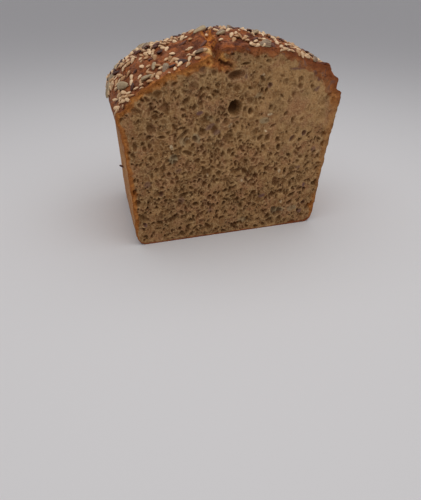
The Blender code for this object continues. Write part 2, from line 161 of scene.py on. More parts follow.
def foam(points: np.ndarray, size: float, seed: int) -> tuple[np.ndarray, np.ndarray, np.ndarray]:
    """Bubbles that press on each other in a flat cut: each square of a lattice holds one bubble's middle.

    Args:
        points: Positions, with x and z on the last axis.
        size: The lattice's pitch.
        seed: Picks one foam of many.

    Returns:
        For each position: its distance from the nearest middle over that from the second nearest, so 0 in a
        bubble's middle and 1 on its wall; the bubble's own number from 0 to 1; and how high it lies in it.
    """
    scaled = points / size
    cell = np.floor(scaled).astype(np.int64)
    nearest = np.full(points.shape[:-1], 9.0)
    second, number, high = nearest.copy(), 0.0 * nearest, 0.0 * nearest
    for step in range(9):
        at = cell + np.array([step % 3 - 1, step // 3 - 1])
        key = np.stack([at[..., 0], at[..., 1], 0 * at[..., 0]], axis=-1)
        offset = scaled - at - 0.5 - 0.42 * np.stack([hashed(key, seed), hashed(key, seed + 1)], axis=-1)
        away = np.linalg.norm(offset, axis=-1)
        closer = away < nearest
        second = np.where(closer, nearest, np.minimum(second, away))
        number = np.where(closer, 0.5 + 0.5 * hashed(key, seed + 2), number)
        high = np.where(closer, 2.0 * offset[..., 1], high)
        nearest = np.where(closer, away, nearest)
    return nearest / second, number, high


def along_polyline(points: np.ndarray, count: int) -> np.ndarray:
    """Points at equal steps along a polyline, its two ends included.

    Args:
        points: The polyline's corners, one row each.
        count: How many steps to take.

    Returns:
        count + 1 rows.
    """
    steps = np.linalg.norm(np.diff(points, axis=0), axis=1)
    place = np.concatenate([[0.0], np.cumsum(steps)])
    wanted = np.linspace(0.0, place[-1], count + 1)
    return np.stack([np.interp(wanted, place, points[:, axis]) for axis in range(points.shape[1])], axis=1)


def grid_quads(rows: int, columns: int, closed: bool) -> np.ndarray:
    """Four-sided faces over a grid of vertices numbered row by row.

    Args:
        rows: Rows of vertices.
        columns: Columns of vertices.
        closed: Whether the last column joins the first.

    Returns:
        One row of four vertex numbers for each face. Its normal is (down the rows) x (along the columns).
    """
    across = columns if closed else columns - 1
    row, column = np.meshgrid(np.arange(rows - 1), np.arange(across), indexing="ij")
    after = (column + 1) % columns
    near, far = row * columns, (row + 1) * columns
    return np.stack([near + column, far + column, far + after, near + after], axis=-1).reshape(-1, 4)


def grid_normals(points: np.ndarray) -> np.ndarray:
    """Unit normals of a grid that closes on itself along its columns: (down the rows) x (along the columns).

    Args:
        points: The grid, as rows x columns x 3.

    Returns:
        An array of the same shape.
    """
    down = np.gradient(points, axis=0)
    along = np.roll(points, -1, axis=1) - np.roll(points, 1, axis=1)
    normal = np.cross(down, along)
    return normal / np.maximum(np.linalg.norm(normal, axis=-1, keepdims=True), 1e-12)


def make_piece(
    name: str,
    points: np.ndarray,
    faces: list[np.ndarray],
    material: bpy.types.Material,
    values: Masks,
) -> bpy.types.Object:
    """Puts arrays into a mesh with one smooth-shaded material, and links it to the scene.

    Args:
        name: The piece's name.
        points: Vertex positions.
        faces: Arrays of faces, each with three or four vertex numbers a row.
        material: The piece's material.
        values: A number for each vertex, under the name that the material reads.

    Returns:
        The new object, at the origin.
    """
    mesh = bpy.data.meshes.new(name)
    corners = np.concatenate([part.reshape(-1) for part in faces])
    sizes = np.concatenate([np.full(len(part), part.shape[1]) for part in faces])
    starts = np.concatenate([[0], np.cumsum(sizes)[:-1]])
    mesh.vertices.add(len(points))
    mesh.vertices.foreach_set("co", points.astype(np.float32).reshape(-1))
    mesh.loops.add(len(corners))
    mesh.loops.foreach_set("vertex_index", corners.astype(np.int32))
    mesh.polygons.add(len(sizes))
    mesh.polygons.foreach_set("loop_start", starts.astype(np.int32))
    mesh.update(calc_edges=True)
    mesh.validate()
    mesh.shade_smooth()
    for label, numbers in values.items():
        layer = mesh.attributes.new(label, "FLOAT", "POINT")
        layer.data.foreach_set("value", numbers.astype(np.float32).reshape(-1))
    mesh.materials.append(material)
    piece = bpy.data.objects.new(name, mesh)
    bpy.context.scene.collection.objects.link(piece)
    return piece


@dataclass(frozen=True)
class LoafShape:
    """The loaf's measures, as the CAD has them, and the surface that they give."""

    base_half_width: float = 54.0 * MM
    rim_half_width: float = 57.2 * MM
    rim_height: float = 56.0 * MM
    shoulder_half_width: float = 59.6 * MM
    shoulder_height: float = 72.0 * MM
    base_corner_radius: float = 5.5 * MM
    crown_rise: float = 29.8 * MM
    length: float = 78.0 * MM
    cut_y: float = -37.9 * MM
    cut_skew: float = math.radians(3.7)
    end_lean: float = 4.5 * MM
    end_bulge: float = 1.8 * MM
    end_corner_radius: float = 15.0 * MM
    end_rounding: float = 52.0 * MM
    end_power: float = 2.2
    middle_rise: float = 4.0 * MM
    middle_bulge_right: float = 2.4 * MM
    middle_bulge_left: float = 1.1 * MM
    shoulder_swell: float = 2.2 * MM
    shoulder_swell_x: float = 53.5 * MM
    shoulder_swell_width: float = 7.0 * MM
    split_front_x: float = -11.5 * MM
    split_drift: float = 0.085
    lobe_drop: float = 5.6 * MM
    lobe_drop_length: float = 34.0 * MM
    lobe_drop_behind: float = 0.12
    lip_height: float = 2.2 * MM
    lip_width: float = 5.5 * MM
    valley_depth: float = 2.3 * MM
    valley_width: float = 1.4 * MM
    lump_height: float = 0.45 * MM
    core_height: float = 45.0 * MM

    def half_width(self, z: np.ndarray) -> np.ndarray:
        """Half of the width at height z: the tin's straight taper, then a smooth spread above its rim.

        Args:
            z: Heights.

        Returns:
            Half widths.
        """
        share = np.clip(z / self.rim_height, 0.0, 1.0)
        tin = self.base_half_width + (self.rim_half_width - self.base_half_width) * share
        spread = self.shoulder_half_width - self.rim_half_width
        return tin + spread * smooth(self.rim_height, self.shoulder_height, z)

    def sides(self, across: int, up: int) -> list[np.ndarray]:
        """The upright section as four open curves, each taken at equal steps.

        The base is a straight line between quarter circles, which are halved between base and wall. The walls
        follow half_width, and the crown is half an ellipse.

        Args:
            across: Steps along the base and along the crown.
            up: Steps along each wall.

        Returns:
            Base, right wall, crown and left wall, in turn, as rows of x and z. Each starts where the last ends.
        """
        radius = self.base_corner_radius
        flat = self.base_half_width - radius
        turn = np.radians(np.linspace(0.0, 90.0, 21))
        arc = np.stack([flat + radius * np.sin(turn), radius * (1.0 - np.cos(turn))], axis=1)
        height = np.linspace(radius, self.shoulder_height, 160)[1:]
        wall = np.stack([self.half_width(height), height], axis=1)
        angle = np.linspace(0.0, math.pi, 1200)
        crown_x = self.shoulder_half_width * np.cos(angle)
        crown = np.stack([crown_x, self.shoulder_height + self.crown_rise * np.sin(angle)], axis=1)
        mirror = np.array([-1.0, 1.0])
        base = np.concatenate([(arc[:11] * mirror)[::-1], arc[:11]])
        right = np.concatenate([arc[10:], wall])
        left = (right * mirror)[::-1]
        counts = (across, up, across, up)
        return [along_polyline(curve, count) for curve, count in zip((base, right, crown, left), counts)]

    def lumps(self, x: np.ndarray, y: np.ndarray, z: np.ndarray) -> np.ndarray:
        """Uneven swelling of the crust, as a sum of crossed sine waves of a few lengths.

        Args:
            x: Positions across the loaf.
            y: Positions along the loaf.
            z: Heights.

        Returns:
            How far the crust stands out, in metres.
        """
        x, y, z = x / MM, y / MM, z / MM
        broad = np.sin(x / 7.3 + 1.3) * np.cos(y / 9.1 + 0.4) + np.sin((x - 0.7 * y) / 12.7 + z / 15.0)
        fine = 0.5 * np.sin((x + 1.3 * y) / 4.1 + z / 6.0) * np.cos((y - 0.6 * x) / 5.3 + 2.0)
        return self.lump_height * (broad + fine) / 2.0

    def reach(self, z: np.ndarray) -> np.ndarray:
        """How long the loaf is at height z: its end wall leans in straight towards the base."""
        return self.length - self.end_lean * (1.0 - np.clip(z / self.shoulder_height, 0.0, 1.0))

    def cut_share(self, x: np.ndarray, z: np.ndarray) -> np.ndarray:
        """The share of the length at which the skewed cut meets a point of the section."""
        return x * math.tan(self.cut_skew) / self.reach(z)

    def place(self, x: np.ndarray, z: np.ndarray, share: np.ndarray) -> np.ndarray:
        """The crust's surface: a point of the section, carried to a share of the length.

        The walls swell by a half sine along the loaf and tuck in at the end by a quarter circle. The crown
        rises by a half sine, and its height over the shoulder falls to the end wall as (1 - r^p)^(1/p). Left of
        the split line the crown drops, with a raised lip and a narrow valley, both bell curves across the line.

        Args:
            x: Positions across the section.
            z: Heights in the section.
            share: 0 at the cut's middle and 1 at the end wall.

        Returns:
            Positions in space, on the last axis.
        """
        above = np.clip((z - self.shoulder_height) / self.crown_rise, 0.0, 1.0)
        below = np.clip(z / self.shoulder_height, 0.0, 1.0)
        reach = self.reach(z)
        along = share * reach
        to_end = np.clip(reach - along, 0.0, None)
        corner = np.clip(1.0 - to_end / self.end_corner_radius, 0.0, 1.0)
        half = np.maximum(np.abs(x), 1e-6)
        tuck = self.end_corner_radius * (1.0 - np.sqrt(1.0 - corner**2)) * (half / self.shoulder_half_width)
        middle = np.sin(math.pi * np.clip(along / self.length, 0.0, 1.0) ** 0.8)
        bulge = np.where(x > 0.0, self.middle_bulge_right, self.middle_bulge_left)
        swell = bulge * middle * (0.5 + 0.5 * below)
        wide = x * (1.0 + (swell - tuck) / self.shoulder_half_width)
        rounding = np.clip(1.0 - to_end / self.end_rounding, 0.0, 1.0)
        crown = (1.0 - rounding**self.end_power) ** (1.0 / self.end_power)
        rise = self.middle_rise * np.sin(math.pi * np.clip(along / self.length, 0.0, 1.0) ** 0.7) * above
        y = self.cut_y + along
        split_x = self.split_front_x + self.split_drift * along
        bell = np.exp(-(((x - self.split_front_x) / (18.0 * MM)) ** 2))
        wide = wide + (split_x - self.split_front_x) * bell * above
        offset = wide - split_x
        lobe = smooth(-1.0 * MM, 6.0 * MM, offset) - 1.0
        lip = self.lip_height * np.exp(-(((offset + 3.5 * MM) / self.lip_width) ** 2))
        valley = -self.valley_depth * np.exp(-(((offset - 0.8 * MM) / self.valley_width) ** 2))
        settled = (1.0 - self.lobe_drop_behind) * smooth(0.0, self.lobe_drop_length, along)
        lobe = lobe * self.lobe_drop * (1.0 - settled) * smooth(0.0, 10.0 * MM, z - self.shoulder_height)
        height = z + (crown - 1.0) * (z - self.shoulder_height) * (z > self.shoulder_height) + rise
        height = height + (lobe + (lip + valley) * above) * crown
        from_swell = (x - self.shoulder_swell_x) / self.shoulder_swell_width
        swell = self.shoulder_swell * np.exp(-(from_swell**2))
        height = height + swell * smooth(0.0, 7.0 * MM, z - self.shoulder_height) * crown
        core = np.stack([wide, 0.0 * wide, height - 0.5 * self.shoulder_height], axis=-1)
        core = core / np.linalg.norm(core, axis=-1, keepdims=True)
        amount = self.lumps(wide, y, height) * (0.45 + 0.55 * above) * smooth(0.0, 12.0 * MM, z)
        return np.stack([wide, y, height], axis=-1) + core * amount[..., None]

    def crown_spots(self, angle: np.ndarray, share: np.ndarray) -> tuple[np.ndarray, np.ndarray, np.ndarray]:
        """Where the crust is, and which way it faces there, from small steps both ways.

        Args:
            angle: Angles over the crown, from 0 at the right shoulder to pi at the left one. Past these it goes
                on straight down the walls.
            share: Shares of the length.

        Returns:
            Points, outward normals and crosswise tangents, one row each.
        """

        def at(turned: np.ndarray, moved: np.ndarray) -> np.ndarray:
            """The surface point at an angle and a share."""
            over = np.clip(turned, 0.0, math.pi)
            z = self.shoulder_height + self.crown_rise * (np.sin(over) - np.abs(turned - over))
            return self.place(self.half_width(z) * np.cos(over), z, moved)

        step = 0.01
        across = at(angle - step, share) - at(angle + step, share)
        along = at(angle, share + step) - at(angle, share - step)
        normal = np.cross(across, along)
        normal /= np.linalg.norm(normal, axis=-1, keepdims=True)
        return at(angle, share), normal, across / np.linalg.norm(across, axis=-1, keepdims=True)

    def split_distance(self, points: np.ndarray) -> np.ndarray:
        """How far points lie to the right of the split's line, measured across the loaf."""
        return points[..., 0] - self.split_front_x - self.split_drift * (points[..., 1] - self.cut_y)

    def cut_plane(self, x: np.ndarray) -> np.ndarray:
        """Where the skewed cut lies along the loaf, at positions across it."""
        return self.cut_y + x * math.tan(self.cut_skew)

    def behind_cut(self, points: np.ndarray) -> np.ndarray:
        """How far points lie behind the cut plane, measured along the loaf."""
        return points[..., 1] - self.cut_plane(points[..., 0])

    def drawn_in(self, ring: np.ndarray, share: float, y: np.ndarray | float, height: float) -> np.ndarray:
        """A ring shrunk towards a middle inside the loaf.

        Args:
            ring: The ring, one point a row.
            share: How far it shrinks, from 0 to 1 for the middle itself.
            y: Where the new ring lies along the loaf, as one number or one for each point.
            height: The middle's height.

        Returns:
            The new ring.
        """
        middle = np.array([0.0, 0.0, height])
        drawn = ring + (middle - ring) * np.array([share, 0.0, share])
        drawn[:, 1] = y
        return drawn


class Nodes:
    """Short ways to lay the nodes of one material, all read on Object coordinates."""

    def __init__(self, name: str) -> None:
        """Makes the material and its Principled shader.

        Args:
            name: The material's name.
        """
        self.material = bpy.data.materials.new(name)
        self.material.use_nodes = True
        self.tree = self.material.node_tree
        self.shader = self.tree.nodes["Principled BSDF"]
        self.shader.inputs["Metallic"].default_value = 0.0
        self.place = self.tree.nodes.new("ShaderNodeTexCoord").outputs["Object"]

    def plug(self, socket: Socket, value: object) -> None:
        """Links a socket to an output, or sets it to a number or colour.

        Args:
            socket: The input.
            value: An output socket, a number or a colour of three numbers.
        """
        if isinstance(value, Socket):
            self.tree.links.new(value, socket)
        elif isinstance(value, tuple):
            socket.default_value = (*value, 1.0)
        else:
            socket.default_value = value

    def read(self, label: str) -> Socket:
        """The number that the mesh stores under a name."""
        node = self.tree.nodes.new("ShaderNodeAttribute")
        node.attribute_name = label
        return node.outputs["Fac"]

    def noise(self, size: float, detail: float = 2.0, stretch: Colour = (1.0, 1.0, 1.0)) -> Socket:
        """Noise from 0 to 1.

        Args:
            size: The size of its largest lumps, in metres.
            detail: How many finer layers it has.
            stretch: How much longer the lumps are along each axis.

        Returns:
            The noise's output.
        """
        mapping = self.tree.nodes.new("ShaderNodeMapping")
        mapping.inputs["Scale"].default_value = tuple(1.0 / (size * part) for part in stretch)
        self.tree.links.new(self.place, mapping.inputs["Vector"])
        node = self.tree.nodes.new("ShaderNodeTexNoise")
        node.inputs["Scale"].default_value = 1.0
        node.inputs["Detail"].default_value = detail
        node.inputs["Roughness"].default_value = 0.6
        self.tree.links.new(mapping.outputs["Vector"], node.inputs["Vector"])
        return node.outputs["Fac"]

    def cells(self, size: float, wobble: float = 0.35) -> Socket:
        """The distance to the nearest of many scattered points, in cells, with wavy outlines.

        Args:
            size: The mean spacing of the points, in metres.
            wobble: How far the outlines wander, in cells.

        Returns:
            The distance's output.
        """
        bend = self.tree.nodes.new("ShaderNodeTexNoise")
        bend.inputs["Scale"].default_value = 0.9 / size
        bend.inputs["Detail"].default_value = 1.0
        self.tree.links.new(self.place, bend.inputs["Vector"])
        shift = self.tree.nodes.new("ShaderNodeVectorMath")
        shift.operation = "MULTIPLY_ADD"
        self.tree.links.new(bend.outputs["Color"], shift.inputs[0])
        shift.inputs[1].default_value = (wobble * size,) * 3
        self.tree.links.new(self.place, shift.inputs[2])
        node = self.tree.nodes.new("ShaderNodeTexVoronoi")
        node.inputs["Scale"].default_value = 1.0 / size
        self.tree.links.new(shift.outputs["Vector"], node.inputs["Vector"])
        return node.outputs["Distance"]

    def math(self, operation: str, first: object, second: object = 0.0) -> Socket:
        """One sum on numbers.

        Args:
            operation: Blender's name of it, such as MULTIPLY.
            first: The first number or output.
            second: The second number or output.

        Returns:
            The result's output.
        """
        node = self.tree.nodes.new("ShaderNodeMath")
        node.operation = operation
        self.plug(node.inputs[0], first)
        self.plug(node.inputs[1], second)
        return node.outputs[0]

    def times(self, first: object, second: object) -> Socket:
        """The product of two numbers or outputs."""
        return self.math("MULTIPLY", first, second)

    def span(self, value: object, low: float, high: float, start: float = 0.0, end: float = 1.0) -> Socket:
        """Carries numbers from one range to another with a smooth S, and clamps them.

        Args:
            value: The number's output.
            low: What gives start.
            high: What gives end.
            start: The result at low.
            end: The result at high.

        Returns:
            The result's output.
        """
        node = self.tree.nodes.new("ShaderNodeMapRange")
        node.interpolation_type = "SMOOTHSTEP"
        for name, number in (("From Min", low), ("From Max", high), ("To Min", start), ("To Max", end)):
            node.inputs[name].default_value = number
        self.plug(node.inputs["Value"], value)
        return node.outputs["Result"]

    def mix(self, share: object, first: object, second: object, blend: str = "MIX") -> Socket:
        """Mixes two colours.

        Args:
            share: How much of the second, from 0 to 1.
            first: A colour or its output.
            second: A colour or its output.
            blend: Blender's name of the way they mix.

        Returns:
            The mixed colour's output.
        """
        node = self.tree.nodes.new("ShaderNodeMix")
        node.data_type = "RGBA"
        node.blend_type = blend
        self.plug(node.inputs[0], share)
        self.plug(node.inputs[6], first)
        self.plug(node.inputs[7], second)
        return node.outputs[2]

    def relief(self, height: object, distance: float, strength: float = 1.0, under: object = None) -> Socket:
        """Bumps a surface.

        Args:
            height: The height's output, from 0 to 1.
            distance: How tall 1 is, in metres.
            strength: How much of it is used.
            under: The normal of a coarser relief below this one.

        Returns:
            The normal's output.
        """
        node = self.tree.nodes.new("ShaderNodeBump")
        node.inputs["Distance"].default_value = distance
        node.inputs["Strength"].default_value = strength
        self.plug(node.inputs["Height"], height)
        if under is not None:
            self.plug(node.inputs["Normal"], under)
        return node.outputs["Normal"]

    def finish(self, colour: object, roughness: object, normal: object, gloss: float) -> bpy.types.Material:
        """Puts colour, roughness and relief on the shader.

        Args:
            colour: The base colour or its output.
            roughness: The roughness or its output.
            normal: The relief's output, or None on a flat surface.
            gloss: The specular level.

        Returns:
            The finished material.
        """
        self.plug(self.shader.inputs["Base Color"], colour)
        self.plug(self.shader.inputs["Roughness"], roughness)
        self.shader.inputs["Specular IOR Level"].default_value = gloss
        if normal is not None:
            self.plug(self.shader.inputs["Normal"], normal)
        return self.material


@dataclass(frozen=True)
class CrustFinish:
    """Baked crust: golden tin-baked walls, a redder crown and a paler torn strip in the split."""

    wall_light: Colour = (0.62, 0.335, 0.135)
    wall_dark: Colour = (0.40, 0.17, 0.06)
    wall_edge: Colour = (0.20, 0.062, 0.02)
    crown_light: Colour = (0.40, 0.112, 0.025)
    crown_dark: Colour = (0.105, 0.021, 0.004)
    crown_dusty: Colour = (0.40, 0.158, 0.072)
    strip_light: Colour = (0.64, 0.23, 0.042)
    strip_dark: Colour = (0.20, 0.045, 0.01)
    strip_fresh: Colour = (0.92, 0.60, 0.24)
    gloss: float = 0.14

    def wall(self, nodes: Nodes, speckle: Socket) -> Socket:
        """The walls' colour: broad and small mottles, speckle, pricked dots, and brown along the edges.

        Args:
            nodes: The material's nodes.
            speckle: The fine speckle that the whole crust shares.

        Returns:
            The colour's output.
        """
        broad = nodes.span(nodes.noise(24 * MM, 5.0), 0.2, 0.8)
        colour = nodes.mix(broad, self.wall_light, self.wall_dark)
        mottle = nodes.span(nodes.noise(5 * MM, 5.0), 0.42, 0.66, 0.0, 0.7)
        colour = nodes.mix(mottle, colour, self.wall_dark)
        colour = nodes.mix(nodes.times(speckle, 0.35), colour, self.wall_dark)
        dots = nodes.span(nodes.cells(3.4 * MM, 0.6), 0.05, 0.3, 0.55, 0.0)
        colour = nodes.mix(dots, colour, self.wall_edge)
        return nodes.mix(nodes.times(nodes.read("edge"), 0.75), colour, self.wall_edge)

    def crown(self, nodes: Nodes, speckle: Socket) -> Socket:
        """The crown's colour: dark patches, dusty ones, which cover more of the left flank, and speckle.

        Args:
            nodes: The material's nodes.
            speckle: The fine speckle that the whole crust shares.

        Returns:
            The colour's output.
        """
        patches = nodes.span(nodes.noise(5 * MM, 6.0), 0.4, 0.6)
        colour = nodes.mix(patches, self.crown_light, self.crown_dark)
        dusty = nodes.span(nodes.noise(3.4 * MM, 5.0), 0.5, 0.66, 0.0, 0.42)
        flank = nodes.span(nodes.noise(4.2 * MM, 5.0), 0.36, 0.6, 0.05, 0.55)
        dusty = nodes.math("MAXIMUM", dusty, nodes.times(nodes.read("pale"), flank))
        colour = nodes.mix(dusty, colour, self.crown_dusty)
        return nodes.mix(nodes.times(speckle, 0.5), colour, self.crown_dark)

    def strip(self, nodes: Nodes) -> Socket:
        """The torn strip's colour: fibres that run along the loaf, and one spot of pale dough."""
        fibre = nodes.span(nodes.noise(3.0 * MM, 5.0, (1.0, 2.0, 1.0)), 0.4, 0.6)
        colour = nodes.mix(fibre, self.strip_light, self.strip_dark)
        crumbly = nodes.span(nodes.noise(1.8 * MM, 3.0), 0.4, 0.6, 0.35, 0.95)
        return nodes.mix(nodes.times(nodes.read("fresh"), crumbly), colour, self.strip_fresh)

    def relief(self, nodes: Nodes) -> Socket:
        """The finest relief: wrinkles, the crown's blisters over them, and pits over both."""
        wrinkles = nodes.relief(nodes.noise(2.8 * MM, 6.0), 1.3 * MM, 1.0)
        blisters = nodes.span(nodes.cells(2.3 * MM, 0.8), 0.05, 0.5, 1.0, 0.0)
        blisters = nodes.relief(nodes.times(blisters, nodes.read("crown")), 0.7 * MM, 0.9, wrinkles)
        pits = nodes.span(nodes.cells(2.1 * MM), 0.1, 0.3)
        return nodes.relief(pits, 0.25 * MM, 0.6, blisters)

    def build(self) -> bpy.types.Material:
        """Mixes walls, crown and strip by the mesh's masks, scorches them, and paints shade into the split's
        crevice;
        the walls are the dullest.

        Returns:
            The material.
        """
        nodes = Nodes("baked_crust")
        speckle = nodes.span(nodes.noise(1.6 * MM, 3.0), 0.35, 0.7)
        colour = nodes.mix(nodes.read("crown"), self.wall(nodes, speckle), self.crown(nodes, speckle))
        colour = nodes.mix(nodes.read("strip"), colour, self.strip(nodes))
        colour = nodes.mix(nodes.times(nodes.read("scorch_and_crevice_shade"), 0.75), colour, self.crown_dark)
        dull = nodes.times(nodes.math("SUBTRACT", 1.0, nodes.read("crown")), 0.3)
        uneven = nodes.span(nodes.noise(3 * MM, 2.0), 0.3, 0.7, 0.36, 0.66)
        return nodes.finish(colour, nodes.math("ADD", uneven, dull), self.relief(nodes), self.gloss)


@dataclass(frozen=True)
class CrumbFinish:
    """Moist wholegrain crumb: a tan matrix, brown pores with painted shade, and the cut faces of the seeds
    baked into it.
    """

    matrix_light: Colour = (0.46, 0.256, 0.104)
    matrix_dark: Colour = (0.235, 0.11, 0.037)
    rosy: Colour = (0.37, 0.165, 0.077)
    cool: Colour = (0.80, 0.88, 0.93)
    # Pale cell walls, and also the painted highlight on the pores' rims.
    thread_and_highlight: Colour = (0.78, 0.53, 0.265)
    # The pores' browner inside, darkened further as painted shade.
    pore: Colour = (0.105, 0.037, 0.007)
    # Painted shade in the deepest pores.
    deep_pore_shade: Colour = (0.055, 0.022, 0.006)
    # Painted shade in the fold's crease.
    fold: Colour = (0.12, 0.032, 0.009)
    torn: Colour = (0.86, 0.43, 0.11)
    torn_red: Colour = (0.50, 0.15, 0.036)
    band: Colour = (0.72, 0.285, 0.057)
    band_outer: Colour = (0.29, 0.085, 0.016)
    red_band: Colour = (0.47, 0.145, 0.038)
    red_outer: Colour = (0.20, 0.048, 0.012)
    linseed: Colour = (0.16, 0.08, 0.072)
    kernel: Colour = (0.36, 0.29, 0.17)
    sesame: Colour = (0.82, 0.64, 0.4)
    gloss: float = 0.16

    def tiny_pores(self, nodes: Nodes) -> Socket:
        """Pores too small to model, painted as shade: scattered cells in patches, fewer where the crumb is
        pale.
        """
        fine = nodes.span(nodes.cells(1.3 * MM, 0.8), 0.1, 0.5, 1.0, 0.0)
        patches = nodes.span(nodes.noise(4.0 * MM, 2.0), 0.4, 0.6, 0.1, 0.62)
        fewer = nodes.span(nodes.read("tone"), 0.35, 0.8, 1.0, 0.6)
        return nodes.times(fine, nodes.times(patches, fewer))

    def crumb(self, nodes: Nodes, tiny: Socket) -> Socket:
        """The crumb's colour: matrix, rosy and cool patches, pale threads, rims lightened partly by painted
        highlight, cut seeds, and pores darkened partly by painted shade.

        Args:
            nodes: The material's nodes.
            tiny: The finest pores.

        Returns:
            The colour's output.
        """
        mottle = nodes.span(nodes.noise(3.0 * MM, 5.0), 0.3, 0.7)
        shift = nodes.times(nodes.math("SUBTRACT", nodes.read("tone"), 0.5), 0.9)
        colour = nodes.mix(nodes.math("ADD", mottle, shift), self.matrix_dark, self.matrix_light)
        colour = nodes.mix(nodes.span(nodes.noise(8 * MM, 3.0), 0.45, 0.65, 0.0, 0.6), colour, self.rosy)
        cool = nodes.span(nodes.noise(11 * MM, 2.0), 0.42, 0.68, 0.0, 0.55)
        colour = nodes.mix(cool, colour, self.cool, "MULTIPLY")
        # Painted shade in the pores too small to model.
        colour = nodes.mix(tiny, colour, self.pore)
        web = nodes.math("ABSOLUTE", nodes.math("SUBTRACT", nodes.noise(1.6 * MM, 3.0), 0.5))
        colour = nodes.mix(nodes.span(web, 0.0, 0.04, 0.34, 0.0), colour, self.thread_and_highlight)
        crisp = nodes.span(nodes.noise(0.8 * MM, 2.0), 0.42, 0.62, 0.1, 0.62)
        # Pale rims round the pores, partly painted highlight.
        colour = nodes.mix(nodes.times(nodes.read("rim"), crisp), colour, self.thread_and_highlight)
        # Cut seeds, and the modelled pores darkened by painted shade.
        tints = {"kernel": self.kernel, "linseed": self.linseed, "sesame": self.sesame, "pore": self.pore}
        for label, tint in tints.items():
            colour = nodes.mix(nodes.read(label), colour, tint)
        return colour

    def baked(self, nodes: Nodes, colour: Socket, speck: Socket) -> Socket:
        """The baked band over the crumb: blotched, redder where the mesh says so, with brown edges.

        Args:
            nodes: The material's nodes.
            colour: The crumb's colour.
            speck: The fine specks that the band and the tear share.

        Returns:
            The colour's output.
        """
        red, inside = nodes.read("red"), nodes.read("band")
        band = nodes.mix(red, self.band, self.red_band)
        outer = nodes.mix(red, self.band_outer, self.red_outer)
        blotch = nodes.span(nodes.noise(5.0 * MM, 3.0), 0.46, 0.62, 0.0, 0.65)
        band = nodes.mix(nodes.math("MAXIMUM", nodes.times(speck, 0.7), blotch), band, outer)
        spots = nodes.span(nodes.noise(3.2 * MM, 2.0), 0.56, 0.64, 0.0, 0.75)
        band = nodes.mix(nodes.times(spots, red), band, self.linseed)
        edge = nodes.times(nodes.span(inside, 0.22, 0.5), nodes.span(inside, 0.88, 0.5))
        colour = nodes.mix(nodes.times(edge, 0.5), colour, outer)
        colour = nodes.mix(nodes.times(inside, 0.88), colour, band)
        return nodes.mix(nodes.times(nodes.read("outer"), 0.7), colour, outer)

    def tear(self, nodes: Nodes, colour: Socket, speck: Socket) -> Socket:
        """The torn dough round the crease, and painted shade in the crease and the deepest pores, over all the
        rest.

        Args:
            nodes: The material's nodes.
            colour: The colour below.
            speck: The fine specks that the band and the tear share.

        Returns:
            The colour's output.
        """
        patches = nodes.span(nodes.noise(4.0 * MM, 4.0), 0.42, 0.6)
        torn = nodes.mix(patches, self.torn, self.torn_red)
        torn = nodes.mix(nodes.times(speck, 0.7), torn, self.band_outer)
        colour = nodes.mix(nodes.times(nodes.read("torn"), 0.85), colour, torn)
        # Painted shade in the crease and in the deepest pores.
        colour = nodes.mix(nodes.read("fold"), colour, self.fold)
        return nodes.mix(nodes.read("deep_pore_shade"), colour, self.deep_pore_shade)

    def build(self) -> bpy.types.Material:
        """Lays the crumb, the baked band and the tear, in that order, with their relief. The band shines more.

        Returns:
            The material.
        """
        nodes = Nodes("open_crumb")
        tiny = self.tiny_pores(nodes)
        speck = nodes.span(nodes.noise(2.2 * MM, 5.0), 0.38, 0.62)
        colour = self.baked(nodes, self.crumb(nodes, tiny), speck)
        colour = self.tear(nodes, colour, speck)
        tissue = nodes.relief(nodes.noise(0.9 * MM, 4.0), 0.4 * MM, 0.9)
        pitted = nodes.relief(tiny, -0.6 * MM, 1.0, tissue)
        rough = nodes.times(nodes.read("band"), nodes.span(nodes.noise(2.6 * MM, 1.0), 0.3, 0.7))
        normal = nodes.relief(rough, 0.5 * MM, 0.8, pitted)
        roughness = nodes.span(nodes.read("band"), 0.2, 0.9, 0.74, 0.48)
        return nodes.finish(colour, roughness, normal, self.gloss)


@dataclass(frozen=True)
class SeedFinish:
    """Toasted seed skin, with its own tone for each seed."""

    name: str
    light: Colour
    dark: Colour
    roughness: float
    gloss: float
    streak: float = 0.0
    stripes: float = 17.0

    def build(self) -> bpy.types.Material:
        """Mixes light and dark by each seed's tone, with fine mottling and long streaks.

        Returns:
            The material.
        """
        nodes = Nodes(self.name)
        mottle = nodes.span(nodes.noise(1.1 * MM, 3.0), 0.3, 0.7, -0.2, 0.2)
        tone = nodes.math("ADD", nodes.read("tone"), mottle)
        if self.streak:
            stripe = nodes.math("SINE", nodes.times(nodes.read("side"), self.stripes))
            tone = nodes.math("ADD", tone, nodes.times(stripe, self.streak))
            rim = nodes.span(nodes.math("ABSOLUTE", nodes.read("side")), 0.7, 1.0, 0.0, 0.5)
            tone = nodes.math("SUBTRACT", tone, rim)
        colour = nodes.mix(nodes.span(tone, 0.0, 1.0), self.light, self.dark)
        normal = nodes.relief(nodes.noise(0.7 * MM, 2.0), 0.12 * MM, 0.6)
        return nodes.finish(colour, self.roughness, normal, self.gloss)


